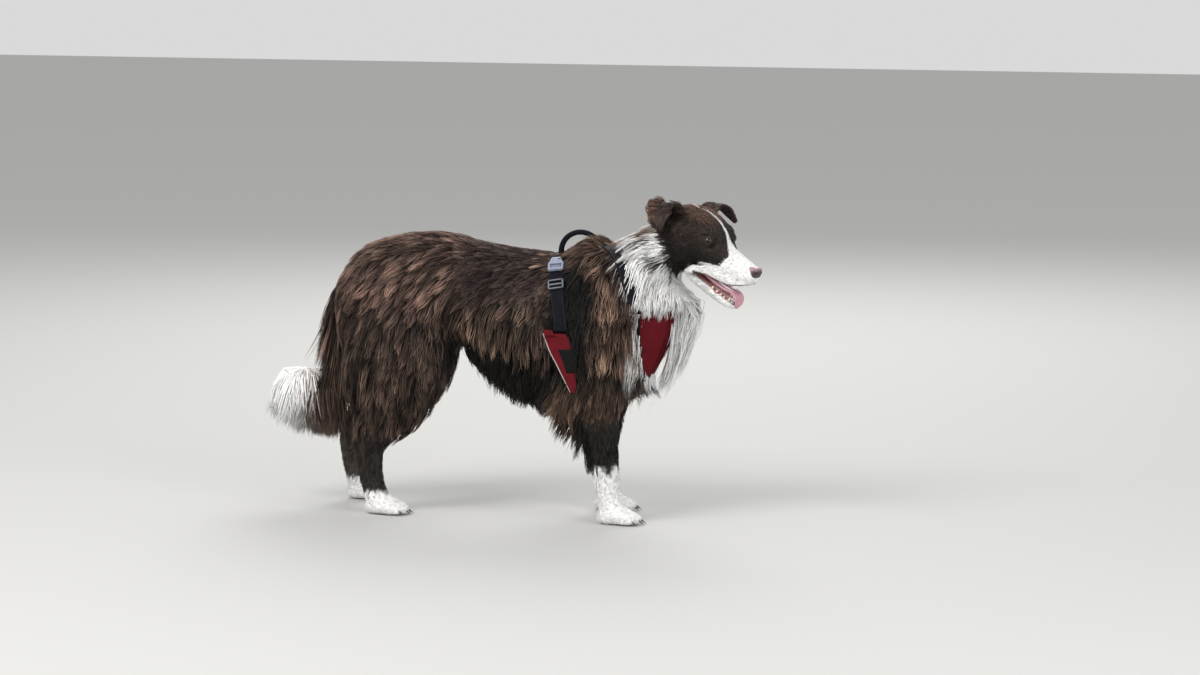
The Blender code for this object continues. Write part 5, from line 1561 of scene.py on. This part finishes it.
def combed(points):
    """Way of the tips, length, cling, wave, the head's share and its depth of hair at each root."""
    x, y, z = points.T
    step = np.where(x > -0.05, along_line(z, LEFT_FORELEG_BACK), along_line(z, LEFT_HINDLEG_BACK))
    step = step * (y > 0.02) * (x > -0.42) * ~in_tail(points)
    body = blended(COMB, points - step[:, None] * X_WAY)
    local = from_world(HEAD, points)
    head = blended(HEAD_COMB, local, 2.5, 0.006)
    share = near(local, (-0.035, 0, 0.045), 0.128, 0.80) * ramp(local[:, 0], -0.135, -0.105)
    for spot, radius in HEAD_SPOTS:
        share = np.maximum(share, near(local, spot, radius, 0.85))
    head_way = head[:, :3] @ np.array(HEAD.to_3x3()).T
    way = unit(body[:, :3] * (1 - share[:, None]) + head_way * share[:, None])
    length = (body[:, 3] * (1 - share) + head[:, 3] * share) / 1000
    cling = body[:, 4] * (1 - share) + share
    wave = (body[:, 5] * (1 - share) + head[:, 3] * 0.04 * share) / 1000
    return way, length, cling, wave, share, head[:, 4] / 1000


# %% [markdown]
# ### Roots
#
# Every triangle of the skin gets a share of the roots: its area, more where the hair is thick,
# and nothing in the mouth, on the nose, the lids and the lips, and under the feet.

# %% Roots
LONG_LOCKS, SHORT_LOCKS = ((57000, 20000))
corners = skin_points[triangles]
areas = np.linalg.norm(np.cross(corners[:, 1] - corners[:, 0], corners[:, 2] - corners[:, 0]), axis=1) / 2
centres = corners.mean(axis=1)
in_head = from_world(HEAD, centres)
in_jaw_frame = from_world(JAW_FRAME, centres)
bare = inside_of(in_head, PALATE, 0.002) + inside_of(in_jaw_frame, JAW_TROUGH, 0.0016) > 0
bare |= np.linalg.norm((in_head - NOSE_CENTRE) / NOSE_HALF, axis=1) < 1.15
for side in (-1, 1):
    away, at_eye = lid_widths(centres, side, 0.020)
    bare |= (away < 1.45) & at_eye
over_lip = in_head[:, 2] - along_line(in_head[:, 0], LIP_EDGE)
bare |= (over_lip < 0.0016) & (over_lip > -0.012) & (in_head[:, 0] > -0.02) & (in_jaw_frame[:, 2] > 0.002)
bare |= centres[:, 2] < 0.0035

_, length, cling, _, head_share, _ = combed(centres)
is_tail = in_tail(centres)
is_short = (length < SHORT_HAIR) & ~is_tail
is_plume = is_tail & (centres[:, 0] < -0.355)
is_mane = in_mane(centres) & (centres[:, 2] > 0.392)
thick_places = 1 + 1.6 * (cling < 0.45) * ~is_tail + 1.5 * is_tail + 10.0 * is_plume
thick_places += 1.0 * (centres[:, 0] > 0.22) + 6.0 * is_mane * (centres[:, 2] < 0.46)
hidden = (np.abs(centres[:, 1]) < 0.05) & (centres[:, 2] < 0.30) & (np.abs(centres[:, 0]) < 0.15)
long_share = areas * thick_places * (1 - 0.4 * hidden) * ~is_short * ~bare
short_share = areas * is_short * ~bare * (1 + 2.5 * (head_share > 0.5))
print("skin area:", round(float(areas.sum()), 3), "square metres")


def sow(share, count):
    """Seeded random roots: a triangle by its share, then an even random place in it."""
    chosen = RNG.choice(len(share), count, p=share / share.sum())
    a, b = np.sqrt(RNG.random(count)), RNG.random(count)
    weights = columns(1 - a, a * (1 - b), a * b)[..., None]
    at = (corners[chosen] * weights).sum(axis=1)
    normal = unit((skin_normals[triangles[chosen]] * weights).sum(axis=1))
    return at, normal, (corner_uv[chosen] * weights).sum(axis=1)


def joined_tree(names):
    """One search tree over several solids of the frame."""
    edit = bmesh.new()
    for name in names:
        edit.from_mesh(bpy.data.objects[name].data)
    tree = BVHTree.FromBMesh(edit)
    edit.free()
    return tree


def nearest(tree, points):
    """For each point its nearest place on a surface, and the outward direction there."""
    found = [tree.find_nearest(p)[:2] for p in points.tolist()]
    return np.array([f[0] for f in found]), np.array([f[1] for f in found])


def cast(tree, starts, ways, reach):
    """How far along each way the surface lies, or `reach` where it isn't met."""
    met = [tree.ray_cast(p, w, reach)[3] for p, w in zip(starts.tolist(), ways.tolist())]
    return np.array([reach if d is None else d for d in met])


# %% [markdown]
# ### Combing each lock
#
# A lock marches from its root in four steps. It leaves the skin at a slant, turns towards its
# own way, and its height over the skin is kept between a floor and a ceiling. The ceiling is a
# random share of the depth from skin to coat outline, so that inner and outer layers overlap.
# Beside a strap the ceiling comes down to the strap's own height, because the harness presses
# the hair flat. Locks of the white ruff hang over the breast plate instead.

# %% March
STEPS = 4
PLATE_TOP = 0.396
HARNESS_REACH = 0.075
LEAST_HEIGHT = 0.0012  # of any hair over the floor
harness_tree = joined_tree([name for name in frame["nodes"] if name.startswith("harness_")])


def pressed(at, foot, up, height, floor, top, over, mane):
    """Floor and ceiling of locks near the harness: under it, in the groove beside it, or over it."""
    inner = cast(harness_tree, foot + up * 0.0005, up, HARNESS_REACH)
    outer = HARNESS_REACH - cast(harness_tree, foot + up * HARNESS_REACH, -up, HARNESS_REACH)
    met = (inner < HARNESS_REACH) & (outer > 0)
    top = np.where(met & ~over, np.minimum(top, np.maximum(inner - 0.0015, 0.0008)), top)
    spot = at + up * (np.minimum(top, height) - height)[:, None]
    found = [harness_tree.find_nearest(p, 0.022)[0] for p in spot.tolist()]
    edge = np.array([p if f is None else f for p, f in zip(spot.tolist(), found)])
    beside = ~met & np.array([f is not None for f in found])
    beside &= (~over | ((at[:, 2] < PLATE_TOP) & (at[:, 0] > 0.24))) & ~mane
    rise = ((edge - foot) * up).sum(axis=1)
    aside = edge - spot
    aside = np.linalg.norm(aside - up * (aside * up).sum(axis=1, keepdims=True), axis=1)
    groove = np.maximum(rise, 0.003) + 0.001 + aside * 0.9
    top = np.where(beside, np.minimum(top, groove), top)
    floor = np.where(met & over, outer + 0.0015, np.minimum(floor, top))
    return floor, np.where(met & over, np.maximum(top, outer + 0.005), top)


def march(roots, normals, way, length, cling, ceiling, over, mane, steps):
    """Rings of every lock: P(k+1) = P(k) + heading * step, then lifted or lowered over the skin."""
    way_flat = unit(way - normals * (way * normals).sum(axis=1, keepdims=True) * 0.9)
    lift = np.clip(ceiling / (length * 0.45), 0.10, 1.1)
    loose = np.interp(roots[:, 0], (-0.385, -0.360, -0.318, -0.308), (0.34, 0.22, 0.22, 0.95))
    lift = lift * cling + loose * (1 - cling)
    heading = unit(way_flat + normals * lift[:, None])
    at = roots - normals * 0.0010
    rings = [at]
    near_harness = np.where((roots[:, 0] > 0.03) & (roots[:, 2] > 0.17) & (ceiling > 0.004))[0]
    for step in range(steps):
        at = at + heading * (length / steps)[:, None]
        foot, up = nearest(skin_tree, at)
        height = ((at - foot) * up).sum(axis=1)
        floor = 0.0006 + 0.15 * ceiling * (step + 1) / steps
        top = ceiling.copy()
        if len(near_harness):
            some = [values[near_harness] for values in (at, foot, up, height, floor, top, over, mane)]
            floor[near_harness], top[near_harness] = pressed(*some)
        kept = np.clip(height, floor, np.maximum(top, floor))
        free = (1 - cling) * (height > floor) * 0.92
        laid = foot + up * kept[:, None]
        new = laid + (at - laid) * free[:, None]
        turn = unit(way - up * ((way * up).sum(axis=1) * cling)[:, None])
        heading = unit(0.35 * unit(new - rings[-1]) + 0.65 * turn)
        at = new
        rings.append(at)
    return np.stack(rings, axis=1)


def with_leads(roots, every):
    """For each lock the index of the nearest of a few lead locks, which its tip leans to."""
    leads = RNG.choice(len(roots), max(1, len(roots) // every), replace=False)
    tree = KDTree(len(leads))
    for i, at in enumerate(roots[leads].tolist()):
        tree.insert(at, i)
    tree.balance()
    return leads[[tree.find(at)[1] for at in roots.tolist()]]


# %% [markdown]
# ### Clumps, waves and colours
#
# Locks clump: each leans to the nearest of a few leads, more and more towards its tip, and a clump
# shares its wave, its tint and how far the sun has bleached it.


# %% Clumps
CURL_LENGTH = 0.034


def clumped(rings, roots, lead, s):
    """Rings drawn towards the lead's: by its pull * s^1.2 along the lock."""
    same = np.linalg.norm(roots - roots[lead], axis=1) < 0.02
    pull = (RNG.uniform(0.55, 0.90, len(roots)) * same)[:, None, None] * (s**1.2)[None, :, None]
    target = rings[lead] + (roots - roots[lead])[:, None] * 0.10
    return rings + (target - rings) * pull


def waved(rings, normals, lead, s, length, wave):
    """Rings swung aside and outwards: wave * s * (sin and cos of a turn for each curl's length)."""
    across = unit(np.cross(unit(rings[:, -1] - rings[:, 0]), normals))
    phase = RNG.uniform(0, math.tau, len(rings))[lead] + RNG.normal(0, 0.35, len(rings))
    curls = (length / CURL_LENGTH)[:, None] * s[None] * math.tau + phase[:, None]
    sway = (np.sin(curls) - np.sin(phase)[:, None]) * s[None] * wave[:, None] * 0.8
    bob = (np.cos(curls) - np.cos(phase)[:, None]) * s[None] * wave[:, None] * 0.35
    rings = rings + across[:, None] * sway[..., None] + normals[:, None] * bob[..., None]
    rings[..., 2] = np.maximum(rings[..., 2], LEAST_HEIGHT)
    return rings


def hair_colours(roots, lead, s, head, tail, length):
    """Colours from root to tip: the markings, a tint for each clump, and tips bleached in streaks."""
    count = len(roots)
    tone = markings(roots)
    tint = np.exp((RNG.normal(0, 0.16, count) + RNG.normal(0, 0.20, count)[lead]) * (1 - 0.5 * head))
    white = ramp(tone[:, 1, 1], 0.40, 0.70)
    bleach = np.clip(RNG.beta(1.3, 1.5, count) * 0.65 + RNG.beta(1.0, 1.5, count)[lead] * 0.75, 0, 1.1)
    streak = grain(roots * (1, 1, 0.45), 0.024, seed=21)
    broad = grain(roots * (1, 1, 0.6), 0.060, seed=22)
    bleach = np.clip(bleach + 0.30 * streak + 0.26 * broad, 0, 1.2)
    bleach = bleach**1.35 + (0.45 - bleach) * 0.55 * head
    bleach = bleach * (1 - white) + (0.75 + 0.25 * bleach) * white
    shade = ramp(s, 0.15, 1.0)[None] * bleach[:, None]
    smooth = np.maximum(np.maximum(head, tail), length < SHORT_HAIR)
    shade = np.maximum(shade, (white * smooth)[:, None])
    colours = tone[:, None, 0] + (tone[:, None, 1] - tone[:, None, 0]) * shade[..., None]
    tint = tint ** (1 - 0.75 * white) * (1 - 0.13 * white * np.maximum(head, length < SHORT_HAIR))
    return colours * tint[:, None, None]


# %% [markdown]
# ### Growing a crop
#
# Two crops are grown: the long locks in four steps, and the short tufts of face and legs in two.
# Each lock lies in its own layer of the coat, and the deeper it lies the shorter it is.


# %% Crops
def grow(count, share, steps, lead_every):
    """Roots, rings and colours of one crop of locks."""
    roots, normals, patch = sow(share, count)
    way, length, cling, wave, head, head_depth = combed(roots)
    tail = in_tail(roots) & (roots[:, 2] < 0.44)
    depth = np.clip(cast(form_tree, roots + normals * 0.001, normals, 0.05), 0.0025, 0.046)
    depth = np.where(depth > 0.0455, 0.020, depth)
    depth = depth * (1 - head) + head_depth * head
    layer = RNG.random(count)
    ceiling = depth * (0.30 + 0.68 * layer**0.8)
    length = length * RNG.uniform(0.72, 1.12, count) * (0.75 + 0.3 * layer)
    # The ruff: some locks fall over the straps, and the mane over the plate.
    under_strap = cast(harness_tree, roots + normals * 0.0005, normals, 0.06) < 0.06
    collar = (roots[:, 0] > 0.19) & (roots[:, 2] > 0.33) & (head < 0.5) & ~under_strap
    above = (roots[:, 2] > PLATE_TOP - 0.004) | (roots[:, 0] < 0.25)
    mane = collar & above & in_mane(roots)
    over = (collar & above & (layer > 0.42)) | ((RNG.random(count) < 0.03) & (roots[:, 0] < 0.22)) | mane
    ceiling = np.where(mane, RNG.uniform(0.010, 0.050, count), ceiling)
    above_plate = collar & (np.abs(roots[:, 1]) < 0.085) & (roots[:, 0] > 0.24)
    drop = roots[:, 2] - (PLATE_TOP - RNG.uniform(0.0, 0.026, count))
    drop = np.where(mane, 1.0, drop)
    length = np.where(mane & (roots[:, 2] < 0.46), RNG.uniform(0.07, 0.235, count), length)
    length = np.where(above_plate, np.minimum(length, np.maximum(drop * 1.05, 0.012)), length)
    keep = ~(under_strap & (RNG.random(count) < 0.55))
    way = unit(way + RNG.normal(0, 0.10, (count, 3)))
    # The tail: its locks spread a little, and all end near the height of the plume's point.
    spread = RNG.uniform(0.0, 0.12, count) + RNG.uniform(0.02, 0.14, count) * (roots[:, 0] < -0.365)
    way[tail] = unit(way + normals * spread[:, None])[tail]
    fall = roots[tail, 2] - 0.126 - 1.5 * np.maximum(-0.425 - roots[tail, 0], 0)
    length[tail] = np.clip(fall * 1.05, 0.045, 0.15) * RNG.uniform(0.78, 1.06, tail.sum())
    cling[tail] = 0.0
    rings = march(roots, normals, way, length, cling, ceiling, over, mane, steps)
    lead = with_leads(roots, lead_every)
    s = np.linspace(0, 1, steps + 1)
    rings = waved(clumped(rings, roots, lead, s), normals, lead, s, length, wave)
    return {
        "roots": roots, "normals": normals, "rings": rings, "patch": patch, "keep": keep,
        "colours": hair_colours(roots, lead, s, head, tail, length),
        "length": length, "head": head, "tail": tail,
    }


long_crop = grow(LONG_LOCKS, long_share, STEPS, 14)
short_crop = grow(SHORT_LOCKS, short_share, 2, 4)
print("locks:", len(long_crop["roots"]), "long and", len(short_crop["roots"]), "short")

# %% [markdown]
# ### Building the spikes
#
# All locks of one piece are made at once. Every ring is a flat triangle across the lock, wide
# along the body and thin outwards, and the last ring is a single point. Each lock owns a patch
# three thousandths wide in OFBake, at the spot of the skin's unwrap where it is rooted, so that
# its stored colours come from its own place.

# %% Spikes
PATCH = 0.003
RING_TURNS = np.array((0.5, 0.5 + 2 / 3, 0.5 + 4 / 3)) * math.pi


def spike_faces(levels):
    """Faces of one spike: quads between its rings, its tip, and the face that closes its root."""
    quads = []
    for k in range(levels - 2):
        for j in range(3):
            ahead = (j + 1) % 3
            quads.append((k * 3 + j, k * 3 + ahead, k * 3 + 3 + ahead, k * 3 + 3 + j))
    last = (levels - 2) * 3
    point = last + 3
    return quads + [(last + j, last + (j + 1) % 3, point) for j in range(3)] + [(2, 1, 0)]


def spikes(name, crop, members, width):
    """Closed three-sided spikes: ring = P + across*w*cos(a) + outward*w/2*sin(a)."""
    rings, normals = crop["rings"][members], crop["normals"][members]
    count, levels = rings.shape[:2]
    across = unit(np.cross(unit(np.gradient(rings, axis=1)), normals[:, None]))
    outward = np.cross(across, unit(np.gradient(rings, axis=1)))
    s = np.linspace(0, 1, levels)
    profile = np.interp(s, (0, 0.25, 0.5, 0.75, 1), (0.8, 1.0, 0.78, 0.46, 0))
    wide = (width[members][:, None] * profile[None])[:, :-1, None]
    ring = (
        rings[:, :-1, None]
        + across[:, :-1, None] * (wide * np.cos(RING_TURNS))[..., None]
        + outward[:, :-1, None] * (wide * np.sin(RING_TURNS) * 0.5)[..., None]
    )
    points = np.concatenate([ring.reshape(count, -1, 3), rings[:, -1:]], axis=1)
    faces = spike_faces(levels)
    pattern = np.concatenate(faces)
    loops = (pattern[None] + np.arange(count)[:, None] * points.shape[1]).ravel()
    sizes = np.tile([len(face) for face in faces], count)
    mesh = bpy.data.meshes.new(name)
    mesh.vertices.add(points.shape[0] * points.shape[1])
    mesh.vertices.foreach_set("co", points.astype(np.float32).ravel())
    mesh.loops.add(len(loops))
    mesh.loops.foreach_set("vertex_index", loops.astype(np.int32))
    mesh.polygons.add(len(sizes))
    mesh.polygons.foreach_set("loop_start", (np.cumsum(sizes) - sizes).astype(np.int32))
    mesh.update(calc_edges=True)
    mesh.shade_smooth()
    level_of = np.append(np.repeat(np.arange(levels - 1), 3), levels - 1)
    add_colour(mesh, "coat_colour", crop["colours"][members][:, level_of].reshape(-1, 3))
    small = columns(np.append(np.tile((0.0, 0.5, 1.0), levels - 1), 0.5), s[level_of])
    patch = crop["patch"][members][:, None] + (small[None] - 0.5) * PATCH
    lines = small[None] + RNG.random((count, 1, 2)) * 40
    for map_name, uv in (("OFBake", patch), ("strand", lines)):
        add_map(mesh, map_name, *uv.reshape(-1, 2).T)
    print(name, count, "locks,", count * (len(pattern) - 2 * len(faces)), "triangles")
    return dressed(linked(name, mesh), hair)


# %% Hair material
hair = Surface("collie_hair", (0.3, 0.2, 0.15), 0.55, specular=0.26)
lines = hair.noise(hair.place((13.0, 0.7, 1.0), uv="strand"), 1.0)
streaked = hair.tint(hair.stored("coat_colour", "Color"), hair.spread(lines, 0.55, 1.42, 0.32, 0.68))
hair.look(streaked, hair.spread(lines, 0.50, 0.66))
hair.bump(lines, 0.0005, 0.6)

# %% Coat pieces
rx, ry, rz = long_crop["roots"].T
REGIONS = {
    "tail": long_crop["tail"],
    "head": long_crop["head"] > 0.5,
    "ruff": (rx > 0.19) & (rz > 0.40) | (rx > 0.225),
    "thigh": (rx < -0.135) & (rz < 0.44),
    "belly": rz < 0.30,
    "back": rx < 0.0,
}
MOST_LOCKS = 9000
lock_width = np.interp(long_crop["length"], (0.01, 0.03, 0.08), (0.0006, 0.0009, 0.0012))
lock_width = lock_width * RNG.uniform(0.6, 1.25, len(lock_width)) * (1 + 0.35 * long_crop["tail"])
region_of = np.select(list(REGIONS.values()), list(REGIONS), "shoulder")
for region in (*REGIONS, "shoulder"):
    for side_name, on_this_side in (("right", ry < 0), ("left", ry >= 0)):
        members = np.where((region_of == region) & on_this_side & long_crop["keep"])[0][:MOST_LOCKS]
        piece = spikes(f"coat_{region}_{side_name}", long_crop, members, lock_width)
tuft_width = np.interp(short_crop["length"], (0.003, 0.008, 0.017), (0.00030, 0.00045, 0.0007))
for part, on_part in (("coat_face", short_crop["head"] > 0.5), ("coat_legs", short_crop["head"] <= 0.5)):
    members = np.where(short_crop["keep"] & on_part)[0]
    spikes(part, short_crop, members, tuft_width)

# %% [markdown]
# ## Whiskers
#
# A few stiff hairs stand out from the muzzle, the chin and over each eye. They are spikes too,
# only longer and a fraction of a millimetre thick.

# %% Whiskers
WHISKER_RINGS, WHISKER_HALF_WIDTH = 6, 0.00022
# A whisker's row: where it leaves the right of the head, its way, its length in millimetres.
WHISKERS = np.array((
    (70, 19, 10, 0.1, 0.9, -0.1, 34), (64, 21, 14, 0, 1, 0.05, 38), (58, 22, 6, -0.1, 1, -0.2, 36),
    (52, 23, 12, -0.25, 1, 0, 40), (47, 24, 4, -0.35, 0.9, -0.25, 34), (73, 15, 1, 0.15, 0.8, -0.5, 26),
    (42, 25, 9, -0.45, 0.9, -0.1, 36), (4, 28, 76, 0.35, 0.45, 1, 26), (-2, 31, 78, 0.15, 0.6, 1, 24),
    (50, 12, -30, 0.2, 0.4, -1, 20),
))
WHISKERS[:, :3] /= 1000
both = np.concatenate([WHISKERS, WHISKERS * (1, -1, 1, 1, -1, 1, 1)])
outwards = unit(both[:, 3:6] @ np.array(HEAD.to_3x3()).T)
foot, up = nearest(skin_tree, into(HEAD, both[:, :3]))
t = np.linspace(0, 1, WHISKER_RINGS)[None, :, None]
reach = (both[:, 6] / 1000)[:, None, None]
droop = np.array((-0.25, 0, -0.55))
whisker_crop = {
    "rings": foot[:, None] + (outwards[:, None] * t + droop * t**2 * 0.35) * reach,
    "normals": up,
    "patch": 0.5 + RNG.random((len(both), 2)) * 0.1,
    "colours": np.full((len(both), WHISKER_RINGS, 3), (0.55, 0.53, 0.50)),
}
spikes("whiskers", whisker_crop, np.arange(len(both)), np.full(len(both), WHISKER_HALF_WIDTH))

# %% [markdown]
#
# At the end the coat's outline is removed. The finished dog has to fill the same box as the
# solid model.

# %% Finish
bpy.data.objects.remove(coat_form)
